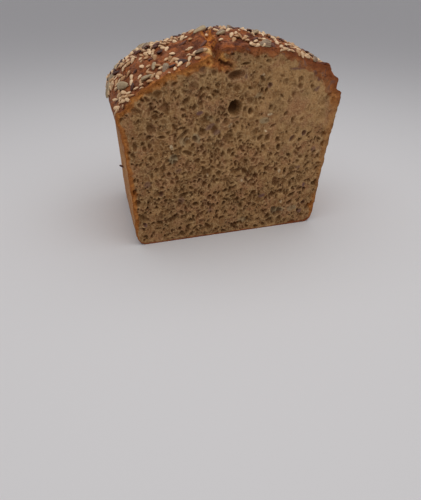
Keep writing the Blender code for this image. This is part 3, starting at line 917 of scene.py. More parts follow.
@dataclass
class Crust:
    """The baked skin: a closed shell, open to the crumb only at the cut, where it thins to a lip."""

    shape: LoafShape
    across: int = 170
    up: int = 120
    rows: int = 92
    cap_rows: int = 30
    wall_thickness: float = 3.0 * MM
    # Single lumps and, with a height below zero, dents: degrees over the crown, share of the length, height and
    # radius.
    lumps: tuple[tuple[float, float, float, float], ...] = (
        (6.5, 0.05, 3.0 * MM, 2.0 * MM),
        (-2.0, 0.05, -1.6 * MM, 2.6 * MM),
        (-9.0, 0.05, -1.3 * MM, 5.0 * MM),
        (13.0, 0.05, -1.4 * MM, 2.2 * MM),
        (19.5, 0.05, 1.4 * MM, 1.7 * MM),
        (25.5, 0.05, -1.3 * MM, 1.9 * MM),
        (32.0, 0.055, 1.9 * MM, 2.9 * MM),
        (101.0, 0.36, 1.6 * MM, 3.5 * MM),
        (110.0, 0.52, 1.4 * MM, 4.0 * MM),
        (84.0, 0.30, 1.2 * MM, 4.0 * MM),
        (70.0, 0.06, 0.9 * MM, 3.5 * MM),
        (138.0, 0.10, 0.8 * MM, 3.5 * MM),
        (160.0, 0.40, 1.0 * MM, 4.0 * MM),
    )
    # Where the split's torn dough stayed pale: degrees over the crown, share of the length.
    fresh_spot: tuple[float, float] = (102.4, 0.045)
    front_ring: np.ndarray = field(init=False, repr=False)

    def section(self) -> np.ndarray:
        """The closed section: base, right wall, crown and left wall joined, each without its last point."""
        return np.concatenate([side[:-1] for side in self.shape.sides(self.across, self.up)])

    def skin(self) -> np.ndarray:
        """The outer surface from the cut to the end wall's rim.

        Rows follow the length, closer together near the cut, and the first lies in the cut plane.

        Returns:
            A grid of rows x columns x 3.
        """
        outline = self.section()
        x, z = outline[:, 0], outline[:, 1]
        start = self.shape.cut_share(x, z)
        moved = np.linspace(0.0, 1.0, self.rows)
        moved = 0.55 * moved + 0.45 * moved**2
        share = start + (1.0 - start) * moved[:, None]
        grid = self.shape.place(np.broadcast_to(x, share.shape), np.broadcast_to(z, share.shape), share)
        grid[0, :, 1] = self.shape.cut_plane(grid[0, :, 0])
        return grid

    def cap(self, rim: np.ndarray) -> np.ndarray:
        """The end wall: its rim drawn in to the middle, swelling out by a quarter sine.

        Args:
            rim: The skin's last row.

        Returns:
            A grid that goes on from the rim and ends just before the middle.
        """
        middle = np.array([0.0, 0.0, 0.5 * self.shape.shoulder_height])
        share = (np.arange(1, self.cap_rows + 1) / (self.cap_rows + 1))[:, None, None]
        grid = rim[None] + (middle - rim[None]) * share
        grid[..., 1] = rim[None, :, 1] + self.shape.end_bulge * np.sin(0.5 * math.pi * share[..., 0])
        blend = share[..., 0] ** 3
        middle_y = rim[:, 1].mean() + 0.8 * self.shape.end_bulge
        grid[..., 1] = grid[..., 1] * (1.0 - blend) + middle_y * blend
        return grid

    def masks(self, grid: np.ndarray, capped: np.ndarray) -> Masks:
        """Where the crust is crown, torn, scorched, painted with shade in the split's crevice, brown at an
        edge, paler on the left flank or freshly torn.

        Args:
            grid: The outer surface.
            capped: 1 on the end wall and 0 elsewhere.

        Returns:
            One array for each mask, from 0 to 1.
        """
        height = grid[..., 2] + 9.0 * MM * layered_noise(grid, 12 * MM, 3)
        crown = smooth(56 * MM, 80 * MM, height) * (1.0 - capped)
        offset = self.shape.split_distance(grid)
        wander = 1.1 * MM * layered_noise(grid, 6 * MM, 8)
        high = smooth(82 * MM, 88 * MM, grid[..., 2])
        left_edge = smooth(-3.6 * MM, -2.0 * MM, offset + wander)
        strip = left_edge * smooth(4.2 * MM, 2.4 * MM, offset + wander) * high
        behind = self.shape.behind_cut(grid)
        near = smooth(2.6 * MM, 0.8 * MM, behind + 0.8 * MM * layered_noise(grid, 3 * MM, 14))
        lobe_lip = near * smooth(3 * MM, -3 * MM, offset) * smooth(66 * MM, 80 * MM, grid[..., 2])
        strip = np.maximum(strip, 0.75 * lobe_lip)
        angle, share = self.fresh_spot
        spot, _, _ = self.shape.crown_spots(np.radians([angle]), np.array([share]))
        from_spot = np.linalg.norm(grid - spot[0], axis=-1) + 1.2 * MM * layered_noise(grid, 3 * MM, 29)
        fresh = smooth(3.8 * MM, 2.0 * MM, from_spot)
        strip = np.maximum(strip, fresh)
        low = smooth(4 * MM, 0.0, grid[..., 2])
        ridge = smooth(0.25, 0.8, layered_noise(grid, 7 * MM, 21))
        # Painted shade in the split's crevice near the cut, summed below with the darker base and crown ridges.
        crevice_shade = smooth(3.2 * MM, 1.0 * MM, np.abs(offset - 2.0 * MM + wander)) * high
        crevice_shade = crevice_shade * smooth(15 * MM, 3 * MM, behind)
        scorch_and_crevice_shade = np.clip(0.6 * low + 0.6 * ridge * crown + 1.4 * crevice_shade, 0.0, 1.0)
        worn = 3.5 * MM * layered_noise(grid, 9 * MM, 23)
        from_end = np.linalg.norm(grid - grid[self.rows - 1], axis=-1)
        corner = smooth(15 * MM, 0.0, from_end + 1.5 * worn)
        foot = smooth(12 * MM, 0.0, grid[..., 2] + worn)
        under = smooth(44 * MM, 68 * MM, grid[..., 2] + 2.0 * worn)
        edge = np.maximum(np.maximum(0.75 * corner, 0.9 * foot), 0.7 * under)
        pale = smooth(-8 * MM, -34 * MM, grid[..., 0] + worn)
        return {
            "crown": crown,
            "strip": strip * 0.95,
            "scorch_and_crevice_shade": scorch_and_crevice_shade,
            "edge": edge * (1.0 - crown),
            "pale": pale,
            "fresh": fresh,
        }

    def relief(self, grid: np.ndarray, masks: Masks) -> np.ndarray:
        """How far the crust's blisters, wrinkles, tears and pits move it outwards.

        Each is layered noise of its own size, weighed by the zone that it belongs to. The crown's small
        blisters take the noise without its sign, which gives round lumps with creases between them.

        Args:
            grid: The outer surface.
            masks: The zones.

        Returns:
            Metres outwards.
        """
        crown, strip = masks["crown"], masks["strip"]
        blister = 0.9 * MM * layered_noise(grid, 9 * MM, 5)
        blister = blister + 1.5 * MM * (np.abs(layered_noise(grid, 4.6 * MM, 6, 2)) - 0.25)
        tear = 1.5 * MM * layered_noise(grid * np.array([1.0, 0.45, 1.0]), 2.6 * MM, 7)
        plain = 0.22 * MM * layered_noise(grid, 9 * MM, 9) + 0.07 * MM * layered_noise(grid, 2.2 * MM, 10)
        pit = -0.3 * MM * smooth(0.45, 0.8, lattice_noise(grid, 1.9 * MM, 11))
        grounded = smooth(0.6 * MM, 5.0 * MM, grid[..., 2])
        at_lip = smooth(4.0 * MM, 0.5 * MM, self.shape.behind_cut(grid))
        lip = 0.5 * MM * at_lip * layered_noise(grid, 3.4 * MM, 12)
        total = (crown * blister + strip * tear + (1.0 - crown) * (plain + pit) + lip) * grounded
        degrees, shares, heights, radii = np.array(self.lumps).T
        middles, _, _ = self.shape.crown_spots(np.radians(degrees), shares)
        uneven = 0.8 + 0.4 * lattice_noise(grid, 2 * MM, 13)
        for middle, height, radius in zip(middles, heights, radii):
            away = np.linalg.norm(grid - middle, axis=-1) / radius
            total = total + height * np.exp(-(away**2)) * uneven
        return total

    def inner_rings(self, ring: np.ndarray, rim: np.ndarray) -> np.ndarray:
        """The shell's inner wall: back from the lip at the cut, along the loaf and up to the end wall.

        Args:
            ring: The skin's first row.
            rim: The skin's last row.

        Returns:
            Three rings, each the outline shrunk towards the loaf's core.
        """
        shape, height = self.shape, self.shape.core_height
        first = shape.drawn_in(ring, self.wall_thickness / (50 * MM), ring[:, 1] + 5.0 * MM, height)
        second = shape.drawn_in(ring, 0.13, shape.cut_y + 0.55 * shape.length, height)
        third = shape.drawn_in(rim, 0.2, rim[:, 1].min() - 6.0 * MM, 38 * MM)
        return np.stack([first, second, third])

    def build(self, finish: CrustFinish) -> bpy.types.Object:
        """Makes the crust piece, and keeps its front ring for the crumb to meet.

        Args:
            finish: The crust's finish.

        Returns:
            The piece.
        """
        skin = self.skin()
        cap = self.cap(skin[-1])
        grid = np.concatenate([skin, cap])
        capped = np.zeros(grid.shape[:2])
        capped[len(skin) :] = 1.0
        masks = self.masks(grid, capped)
        moved = self.relief(grid, masks)
        outer = grid + grid_normals(grid) * moved[..., None]
        outer[0, :, 1] = self.shape.cut_plane(outer[0, :, 0])
        outer[..., 2] = np.maximum(outer[..., 2], 0.0)
        self.front_ring = outer[0].copy()
        inner = self.inner_rings(outer[0], skin[-1])
        rows, columns = outer.shape[:2]
        shell = np.concatenate([inner[::-1], outer]).reshape(-1, 3)
        tip = np.array([[0.0, outer[-1, :, 1].mean() + 0.1 * MM, outer[-1, :, 2].mean()]])
        back = inner[-1].mean(axis=0)[None]
        points = np.concatenate([shell, tip, back])
        quads = grid_quads(rows + 3, columns, True)
        last = (rows + 2) * columns + np.arange(columns)
        first = np.arange(columns)
        close_end = np.stack([last, np.full(columns, len(points) - 2), np.roll(last, -1)], axis=1)
        close_inside = np.stack([first, np.roll(first, -1), np.full(columns, len(points) - 1)], axis=1)
        values = {}
        for label, mask in masks.items():
            values[label] = np.concatenate([np.zeros(3 * columns), mask.reshape(-1), [0.0, 0.0]])
        return make_piece("crust", points, [quads, close_end, close_inside], finish.build(), values)


@dataclass(frozen=True)
class Pore:
    """One pore in the cut face: place, size, depth, lean of its top to the right, and its darkness, partly
    painted shade.
    """

    x: float
    z: float
    width: float
    height: float
    depth: float
    lean: float
    shade: float


# The pores that stand out: place, width, height and depth in millimetres, lean in degrees, and darkness,
# which is painted shade over the pores' browner colour.
CLEAR_PORES = (
    (0.4, 73.0, 7.5, 8.6, 8.0, 0, 1.0),
    (8.5, 76.5, 4.2, 4.0, 1.8, 0, 0.5),
    (9.2, 70.9, 3.2, 4.3, 2.5, 25, 0.8),
    (15.9, 77.0, 2.2, 1.9, 1.5, 0, 0.9),
    (29.5, 68.3, 2.4, 4.0, 1.8, 55, 0.7),
    (15.7, 56.2, 2.4, 5.1, 2.2, 50, 0.75),
    (22.7, 62.4, 1.8, 5.9, 1.5, 65, 0.6),
    (35.2, 54.3, 2.7, 4.8, 1.4, 45, 0.6),
    (41.8, 57.1, 2.7, 4.0, 1.8, 40, 0.8),
    (46.9, 51.6, 1.7, 2.5, 1.2, 0, 0.7),
    (27.2, 50.2, 2.7, 4.5, 2.6, 0, 0.85),
    (26.4, 46.3, 1.6, 3.7, 1.5, 60, 0.8),
    (34.4, 44.7, 2.8, 2.2, 2.6, 20, 1.0),
    (32.6, 35.4, 2.2, 4.8, 3.0, 8, 0.95),
    (36.8, 26.9, 2.0, 4.9, 2.2, -8, 0.85),
    (31.1, 26.6, 2.2, 2.2, 1.6, 0, 0.9),
    (14.1, 29.0, 3.3, 2.7, 1.8, 0, 0.85),
    (38.9, 20.0, 2.4, 5.2, 2.6, 62, 0.95),
    (37.9, 14.9, 2.7, 5.2, 2.6, 60, 0.95),
    (9.9, 23.3, 1.6, 3.3, 1.5, 80, 0.9),
    (0.8, 31.4, 1.8, 3.5, 1.6, -80, 0.9),
    (-5.8, 34.0, 2.4, 2.2, 1.5, 0, 0.8),
    (0.5, 11.2, 1.6, 4.9, 1.2, 85, 0.8),
    (11.8, 17.7, 1.7, 2.8, 1.2, 70, 0.8),
    (12.6, 43.9, 2.8, 3.0, 1.5, 20, 0.7),
    (4.4, 35.2, 1.5, 4.5, 1.2, 85, 0.8),
    (8.3, 42.9, 1.7, 1.7, 1.2, 0, 0.8),
    (-3.6, 44.4, 2.7, 4.3, 1.0, 80, 0.4),
    (41.9, 43.1, 2.1, 3.7, 1.2, -75, 0.6),
    (32.4, 6.0, 1.5, 2.7, 1.0, 70, 0.8),
    (20.2, 11.7, 1.9, 1.8, 1.2, 0, 0.9),
    (-1.9, 24.5, 1.9, 3.1, 1.4, 85, 0.9),
    (39.5, 64.9, 2.7, 3.7, 1.0, 50, 0.35),
    (22.9, 71.3, 2.1, 3.2, 1.0, 50, 0.4),
    (-39.8, 82.2, 4.8, 4.2, 1.6, 0, 0.7),
    (-25.8, 78.0, 2.7, 6.4, 2.2, 48, 0.65),
    (-27.1, 73.8, 1.8, 3.4, 1.2, -70, 0.7),
    (-27.1, 70.6, 2.0, 2.2, 1.6, 0, 0.95),
    (-41.3, 71.2, 3.3, 3.3, 1.6, 0, 0.7),
    (-36.7, 68.8, 4.3, 3.2, 1.0, 0, 0.35),
    (-43.6, 65.6, 5.5, 6.0, 2.2, -25, 0.6),
    (-38.0, 60.9, 1.9, 4.5, 1.8, -85, 0.85),
    (-44.3, 60.9, 1.3, 1.3, 1.2, 0, 1.0),
    (-20.7, 63.6, 2.1, 3.8, 1.4, 0, 0.7),
    (-52.0, 57.1, 2.6, 5.6, 1.5, 0, 0.6),
    (-47.3, 55.5, 2.6, 3.3, 1.2, 0, 0.7),
    (-44.3, 50.1, 2.7, 3.8, 1.6, 0, 0.85),
    (-40.1, 47.0, 3.4, 3.2, 0.9, 0, 0.4),
    (-25.0, 51.6, 2.8, 6.0, 2.0, -70, 0.75),
    (-17.2, 53.4, 2.6, 2.7, 1.8, 0, 1.0),
    (-16.3, 45.4, 1.9, 3.3, 1.2, -75, 0.7),
    (-10.6, 62.6, 3.7, 5.3, 1.8, 35, 0.65),
    (-7.5, 58.9, 2.7, 3.5, 1.6, 25, 0.8),
    (-44.3, 40.3, 1.9, 4.5, 1.3, 0, 0.75),
    (-35.0, 40.7, 3.2, 3.4, 1.7, 0, 0.8),
    (-33.5, 35.7, 2.1, 3.3, 1.3, -30, 0.85),
    (-22.9, 31.3, 2.1, 3.3, 1.6, -80, 0.95),
    (-12.7, 31.3, 2.1, 4.0, 1.8, 12, 0.9),
    (-20.4, 21.5, 2.8, 4.6, 2.6, 80, 1.0),
    (-39.4, 29.4, 2.6, 2.5, 1.5, 0, 0.85),
    (-32.4, 27.4, 1.4, 1.4, 1.4, 0, 1.0),
    (-28.4, 17.4, 2.6, 3.2, 1.5, -40, 0.85),
    (-39.6, 19.0, 1.5, 2.7, 1.2, -85, 0.85),
    (-49.8, 12.4, 2.7, 3.2, 1.2, -60, 0.9),
    (-33.7, 6.8, 2.0, 1.7, 1.2, 0, 0.9),
    (-42.2, 9.1, 1.4, 4.8, 1.0, -85, 0.7),
    (-20.7, 58.2, 2.4, 2.6, 1.6, 0, 0.9),
    (-13.5, 57.1, 2.7, 2.4, 1.4, 0, 0.85),
    (0.2, 89.2, 4.6, 9.4, 3.4, 78, 0.75),
    (-4.6, 90.6, 1.6, 2.6, 2.2, 60, 0.95),
    (5.0, 94.2, 1.7, 6.0, 2.2, 85, 0.95),
    (0.8, 83.0, 4.8, 3.8, 2.0, 0, 0.45),
    (-11.1, 90.6, 3.0, 3.3, 1.6, 0, 0.8),
    (36.4, 82.1, 3.5, 3.8, 1.6, 0, 0.55),
    (43.6, 81.8, 2.5, 2.8, 1.4, 0, 0.6),
    (18.9, 83.7, 2.3, 3.0, 1.5, 0, 0.95),
    (13.0, 92.2, 1.7, 2.6, 1.2, 75, 0.7),
    (25.1, 87.9, 1.7, 3.2, 1.2, -75, 0.6),
    (12.8, 83.4, 2.5, 2.0, 1.2, 0, 0.7),
    (-17.2, 92.6, 5.0, 4.6, 1.6, 0, 0.55),
    (-24.2, 90.0, 2.4, 2.4, 1.4, 0, 0.75),
    (-21.7, 84.9, 5.8, 4.9, 1.6, 0, 0.4),
    (-31.1, 86.4, 1.6, 4.4, 1.4, 60, 0.7),
    (-9.4, 84.7, 3.1, 3.6, 1.2, 10, 0.6),
    (-48.4, 77.2, 2.2, 2.2, 1.2, 0, 0.6),
)

# Seeds that the knife went through: kind, place and size in millimetres, lean in degrees, and strength.
CUT_SEEDS = (
    ("linseed", -18.4, 71.8, 2.2, 4.6, 75, 0.9),
    ("linseed", -13.0, 64.4, 3.0, 6.0, 60, 0.6),
    ("linseed", -9.0, 61.0, 2.6, 4.4, 70, 0.6),
    ("linseed", 18.7, 83.6, 2.6, 3.6, 40, 0.7),
    ("linseed", 41.9, 56.8, 2.4, 4.4, 40, 0.7),
    ("linseed", 34.7, 54.6, 2.4, 4.8, 45, 0.7),
    ("linseed", 33.6, 91.0, 1.3, 10.0, 88, 0.7),
    ("linseed", 46.6, 80.4, 2.4, 4.2, 60, 0.6),
    ("linseed", 47.0, 85.2, 2.0, 2.2, 0, 0.8),
    ("linseed", 49.2, 47.0, 3.0, 4.0, 20, 0.55),
    ("linseed", 46.0, 25.6, 2.0, 3.0, 0, 0.9),
    ("linseed", 47.4, 14.0, 2.4, 3.4, 60, 0.8),
    ("linseed", 45.8, 8.2, 2.2, 3.2, 50, 0.7),
    ("linseed", 19.6, 21.6, 2.4, 4.4, 70, 0.8),
    ("linseed", 41.0, 37.0, 2.0, 3.0, 80, 0.5),
    ("linseed", -39.4, 29.4, 2.2, 2.4, 0, 0.7),
    ("linseed", -49.4, 12.2, 2.8, 3.4, -50, 0.8),
    ("linseed", -46.8, 36.0, 4.2, 4.6, 0, 0.45),
    ("linseed", -28.6, 24.6, 4.0, 5.0, 0, 0.4),
    ("linseed", -12.0, 16.6, 2.2, 3.8, 60, 0.4),
    ("linseed", -30.0, 42.0, 3.0, 4.4, 60, 0.4),
    ("linseed", 5.8, 88.0, 2.0, 2.6, 0, 0.5),
    ("linseed", -17.4, 92.8, 3.0, 4.2, 70, 0.5),
    ("kernel", -32.6, 48.8, 5.0, 6.0, 20, 0.7),
    ("kernel", -27.6, 57.6, 4.0, 5.0, 0, 0.35),
    ("kernel", -20.0, 58.8, 4.0, 6.0, -30, 0.5),
    ("kernel", 17.6, 65.6, 3.6, 6.4, 80, 0.6),
    ("kernel", 30.4, 10.4, 4.4, 9.0, 80, 0.6),
    ("kernel", 40.0, 10.8, 4.0, 7.0, 80, 0.45),
    ("kernel", 8.0, 7.4, 3.0, 7.6, 86, 0.4),
    ("kernel", 12.8, 78.6, 3.0, 5.0, 70, 0.35),
    ("kernel", -13.0, 68.6, 2.6, 5.0, -60, 0.35),
    ("sesame", -33.4, 55.4, 1.6, 2.2, 0, 0.8),
    ("sesame", -24.8, 58.6, 1.2, 2.4, 50, 0.5),
    ("sesame", 20.2, 68.4, 1.4, 3.2, 85, 0.85),
    ("sesame", 18.6, 59.8, 1.4, 2.6, -60, 0.9),
    ("sesame", -1.8, 64.4, 1.2, 3.6, 40, 0.6),
    ("sesame", 29.0, 36.0, 1.4, 1.8, 0, 0.6),
    ("sesame", 6.4, 32.8, 1.2, 1.8, 0, 0.6),
    ("sesame", -13.6, 38.0, 1.2, 1.6, 0, 0.7),
    ("sesame", 14.6, 88.6, 1.0, 2.0, 70, 0.5),
    ("sesame", 32.4, 15.8, 1.2, 1.8, 20, 0.6),
)


@dataclass
class FaceRaster:
    """A fine raster over the cut face, on which pores and cut seeds are drawn."""

    cell: float = 0.2 * MM
    low: tuple[float, float] = (-64.0 * MM, -2.0 * MM)
    size: tuple[float, float] = (128.0 * MM, 112.0 * MM)
    place: np.ndarray = field(init=False, repr=False)
    wave: np.ndarray = field(init=False, repr=False)

    def __post_init__(self) -> None:
        """Lays out each cell's position, and the noise that makes outlines wavy."""
        columns, rows = (int(side / self.cell) for side in self.size)
        gx, gz = np.meshgrid(np.arange(columns), np.arange(rows))
        x, z = self.low[0] + gx * self.cell, self.low[1] + gz * self.cell
        self.place = np.stack([x, 0.0 * gx, z], axis=-1)
        self.wave = 0.6 * lattice_noise(self.place, 1.7 * MM, 51)
        self.wave += 0.4 * lattice_noise(self.place, 0.8 * MM, 52)

    def blank(self) -> np.ndarray:
        """A zero for every cell."""
        return np.zeros(self.place.shape[:-1])

    def ellipse(self, spot: tuple[float, float], size: tuple[float, float], lean: float) -> Ellipse:
        """The cells round an ellipse, each with r, its distance from the middle in the ellipse's own radii.

        The noise moves r by up to about half, so that the outline is wavy, and less on large ellipses.

        Args:
            spot: The middle, as x and z.
            size: Width and height.
            lean: How far the top leans to the right, in radians.

        Returns:
            The window of the raster, r for its cells, and how high they lie, from -1 to 1.
        """
        half = 0.85 * max(size)
        left, right = (int((spot[0] + side * half - self.low[0]) / self.cell) for side in (-1, 1))
        under, over = (int((spot[1] + side * half - self.low[1]) / self.cell) for side in (-1, 1))
        window = np.s_[max(under, 0) : max(over, 0) + 1, max(left, 0) : max(right, 0) + 1]
        dx, dz = self.place[window][..., 0] - spot[0], self.place[window][..., 2] - spot[1]
        u = (dx * math.cos(lean) - dz * math.sin(lean)) / (0.5 * size[0])
        w = (dx * math.sin(lean) + dz * math.cos(lean)) / (0.5 * size[1])
        waver = 0.55 * min(1.0, 2.4 * MM / max(size))
        rise = np.clip(2.0 * dz / (size[0] + size[1]), -1.0, 1.0)
        return window, np.hypot(u, w) + waver * self.wave[window], rise

    def sample(self, numbers: np.ndarray, flat: np.ndarray) -> np.ndarray:
        """Reads between the cells, weighing the four nearest by their closeness.

        Args:
            numbers: One number for each cell.
            flat: Points of the cut face, with x and z on the last axis.

        Returns:
            One number for each point.
        """
        at = (flat - np.array(self.low)) / self.cell
        column = np.clip(at[..., 0], 0.0, numbers.shape[1] - 1.001)
        row = np.clip(at[..., 1], 0.0, numbers.shape[0] - 1.001)
        c, r = column.astype(int), row.astype(int)
        s, t = column - c, row - r
        lower = numbers[r, c] * (1.0 - s) + numbers[r, c + 1] * s
        upper = numbers[r + 1, c] * (1.0 - s) + numbers[r + 1, c + 1] * s
        return lower * (1.0 - t) + upper * t


@dataclass(frozen=True)
class Foam:
    """One size of small pores: the lattice's pitch, how many bubbles are open, how deep and dark they are."""

    pitch: float
    opened: float
    depth: float
    shade: float
    fewer: float
    seed: int


@dataclass
class Crumb:
    """The soft inside: a closed core whose cut face is open, pored crumb up to the crust's lip."""

    shape: LoafShape
    ring: np.ndarray
    across: int
    up: int
    raster: FaceRaster = field(default_factory=FaceRaster)
    foams: tuple[Foam, ...] = (
        Foam(5.0 * MM, 0.3, 2.2 * MM, 0.6, 0.25, 81),
        Foam(2.9 * MM, 0.38, 1.6 * MM, 0.9, 0.7, 91),
        Foam(1.7 * MM, 0.34, 1.0 * MM, 0.95, 0.7, 101),
    )
    foam_lean: float = math.radians(38.0)
    # The fold in the cut face, from the split down and to the right, in millimetres.
    fold_line: tuple[tuple[float, float], ...] = (
        (-12.4, 104.0),
        (-12.2, 101.0),
        (-11.2, 97.3),
        (-7.6, 95.4),
        (-2.4, 93.4),
    )
    fold_depth: float = 3.4 * MM

    def outline(self) -> np.ndarray:
        """The crust's front ring laid flat in the cut plane, as x along the cut and z."""
        stretch = math.hypot(1.0, math.tan(self.shape.cut_skew))
        return np.stack([self.ring[:, 0] * stretch, self.ring[:, 2]], axis=1)

    def patch(self) -> np.ndarray:
        """Spans the crust's front ring with a grid, by the Coons patch of its four sides.

        Each side is taken at twice the ring's steps, so the two pieces meet without a gap.

        Returns:
            A grid of rows x columns with x along the cut and z up.
        """
        flat = self.outline()
        closed = np.concatenate([flat, flat[:1]])
        steps = np.arange(2 * len(flat) + 1) / 2.0
        line = np.stack([np.interp(steps, np.arange(len(closed)), closed[:, axis]) for axis in (0, 1)], axis=1)
        across, up = 2 * self.across, 2 * self.up
        base = line[: across + 1]
        right = line[across : across + up + 1]
        crown = line[across + up : 2 * across + up + 1][::-1]
        left = line[2 * across + up :][::-1]
        s = np.linspace(0.0, 1.0, across + 1)[None, :, None]
        v = np.linspace(0.0, 1.0, up + 1)[:, None, None]
        ruled = (1.0 - v) * base[None] + v * crown[None] + (1.0 - s) * left[:, None] + s * right[:, None]
        lower = (1.0 - s) * (1.0 - v) * base[0] + s * (1.0 - v) * base[-1]
        return ruled - (lower + (1.0 - s) * v * crown[0] + s * v * crown[-1])

    def edge_distance(self, flat: np.ndarray) -> np.ndarray:
        """How far each point of the cut face lies from the nearest point of its outline.

        Args:
            flat: Points as rows x columns x 2.

        Returns:
            Distances in metres.
        """
        line = self.outline()[None]
        return np.stack([np.sqrt(((row[:, None, :] - line) ** 2).sum(axis=-1).min(axis=1)) for row in flat])

    def open_foam(self, foam_size: Foam, clear: np.ndarray, depth: np.ndarray, masks: Masks) -> None:
        """Opens one size of small pores: bubbles longer along their lean, some open and some whole.

        Fewer are open at the upper right and more left of the middle. An open bubble is a smooth bowl, deepest
        in its upper half and deeper towards the base. Painted shade darkens it, most in its upper half, and its
        wall is paled, partly as painted highlight.

        Args:
            foam_size: The size.
            clear: 0 on the large listed pores and 1 away from them.
            depth: The raster's depth, deepened here.
            masks: The masks, whose pore and rim grow here.
        """
        place = self.raster.place
        x, z = place[..., 0], place[..., 2]
        calm = smooth(-5 * MM, 40 * MM, x) * smooth(40 * MM, 72 * MM, z)
        busy = smooth(40 * MM, 5 * MM, np.hypot(x + 14 * MM, z - 42 * MM))
        pitch, lean = foam_size.pitch, self.foam_lean
        bend = [0.34 * pitch * lattice_noise(place, 0.8 * pitch, foam_size.seed + side) for side in (5, 6)]
        along = x * math.sin(lean) + z * math.cos(lean) + bend[0]
        across = x * math.cos(lean) - z * math.sin(lean) + bend[1]
        radius, number, high = foam(np.stack([1.22 * across, 0.86 * along], axis=-1), pitch, foam_size.seed)
        high = np.clip(high, -0.5, 0.5)
        limit = 1.0 - foam_size.opened * (1.0 - foam_size.fewer * calm + 0.4 * busy)
        live = smooth(limit - 0.05, limit + 0.2, number) * clear
        bowl = smooth(0.86, 0.2, radius) * live * (0.75 + 0.5 * high)
        np.maximum(depth, foam_size.depth * bowl * (1.0 + 0.5 * smooth(46 * MM, 16 * MM, z)), out=depth)
        # Painted shade: the bubble darkens towards its middle, most in its upper half.
        dark = foam_size.shade * (0.5 + 0.5 * smooth(limit + 0.1, 1.0, number)) * (0.85 + 0.4 * high)
        np.maximum(masks["pore"], dark * smooth(0.78, 0.25, radius) * live, out=masks["pore"])
        # Pale bubble walls, partly painted highlight.
        np.maximum(masks["rim"], 0.9 * smooth(0.72, 0.95, radius) * live, out=masks["rim"])

    def open_pore(self, pore: Pore, depth: np.ndarray, masks: Masks) -> None:
        """Opens one listed pore: a bowl, 1 - r^p deep at r of its own radii from its middle.

        The power p goes from 2.2 up to 6 for the deepest. The bowl is deepest towards its upper edge, which the
        knife left sharp. Painted shade darkens it, most towards that edge, and the deepest get more of it; its
        lower rim gets a painted highlight, as if lit from above. Where bowls meet, the deeper one wins.

        Args:
            pore: The pore.
            depth: The raster's depth, deepened here.
            masks: The masks, whose pore, rim and deep-pore shade grow here.
        """
        window, radius, rise = self.raster.ellipse((pore.x, pore.z), (pore.width, pore.height), pore.lean)
        power = 2.2 + 0.5 * max(0.0, pore.depth / MM - 1.0)
        bowl = (1.0 - np.clip(radius, 0.0, 1.0) ** power) * (0.74 + 0.4 * rise)
        depth[window] = np.maximum(depth[window], pore.depth * bowl)
        # Painted shade: the pore darkens towards its middle, most towards its upper edge.
        dark = pore.shade**0.7 * smooth(1.04, 0.35, radius) * (0.8 + 0.25 * rise)
        masks["pore"][window] = np.maximum(masks["pore"][window], dark)
        # Painted highlight: the pale rim is strongest along the lower edge, as if lit from above.
        pale = smooth(0.9, 1.08, radius) * smooth(1.5, 1.15, radius) * (0.6 - 0.4 * rise)
        masks["rim"][window] = np.maximum(masks["rim"][window], pale * min(1.0, pore.width / (2.0 * MM)))
        # Painted shade in the deepest pores, most towards their upper edge.
        if pore.depth > 2.4 * MM:
            deep = smooth(0.85, 0.35, radius) * min(1.0, pore.depth / (6.0 * MM)) * (0.65 + 0.35 * rise)
            masks["deep_pore_shade"][window] = np.maximum(masks["deep_pore_shade"][window], 0.85 * deep)

    def draw_face(self) -> tuple[np.ndarray, Masks]:
        """Draws foam, listed pores, cut seeds and the crease on the raster, with their painted shade and
        highlight.

        Returns:
            The depth in metres, and the masks by name.
        """
        place, depth = self.raster.place, self.raster.blank()
        names = ("pore", "deep_pore_shade", "rim", "torn", "fold", "linseed", "kernel", "sesame")
        masks = {name: self.raster.blank() for name in names}
        clear = self.raster.blank() + 1.0
        for x, z, _, height, *_ in CLEAR_PORES:
            if height > 2.9:
                away = np.hypot(place[..., 0] - x * MM, place[..., 2] - z * MM) - 0.5 * height * MM
                clear = np.minimum(clear, smooth(0.0, 1.0 * MM, away))
        for foam_size in self.foams:
            self.open_foam(foam_size, clear, depth, masks)
        for kind, x, z, width, height, lean, strength in CUT_SEEDS:
            size = (width * MM, height * MM)
            window, radius, _ = self.raster.ellipse((x * MM, z * MM), size, math.radians(lean))
            masks[kind][window] = np.maximum(masks[kind][window], strength * smooth(1.05, 0.7, radius))
        for row in CLEAR_PORES:
            pore = Pore(*(number * MM for number in row[:5]), math.radians(row[5]), row[6])
            self.open_pore(pore, depth, masks)
        masks["rim"] *= 1.0 - smooth(0.1, 0.5, masks["pore"])
        depth -= 0.25 * MM * masks["rim"] * (depth < 0.3 * MM)
        from_fold = self.fold_distance(place) + 1.0 * MM * layered_noise(place, 1.8 * MM, 54)
        depth = np.maximum(depth, self.fold_depth * smooth(2.4 * MM, 0.2 * MM, from_fold))
        torn = smooth(5.4 * MM, 2.6 * MM, from_fold + 2.2 * MM * layered_noise(place, 2.5 * MM, 53))
        masks["torn"] = torn * smooth(3 * MM, -8 * MM, place[..., 0])
        # Painted shade along the crease.
        masks["fold"] = 0.9 * smooth(2.1 * MM, 0.9 * MM, from_fold)
        return depth, masks

    def fold_distance(self, place: np.ndarray) -> np.ndarray:
        """How far points lie from the fold's line, less at the split and more towards the fold's far end.

        So the fold is widest where it starts and fades out along its line.

        Args:
            place: Points, with x first and z last on the last axis.

        Returns:
            Distances in metres.
        """
        line = np.array(self.fold_line) * MM
        nearest = np.full(place.shape[:-1], 1.0)
        for number, (start, end) in enumerate(zip(line, line[1:])):
            step = end - start
            dx, dz = place[..., 0] - start[0], place[..., 2] - start[1]
            share = np.clip((dx * step[0] + dz * step[1]) / (step @ step), 0.0, 1.0)
            away = np.hypot(dx - share * step[0], dz - share * step[1])
            nearest = np.minimum(nearest, away + 0.4 * MM * number + 0.5 * MM * share - 0.8 * MM)
        return nearest

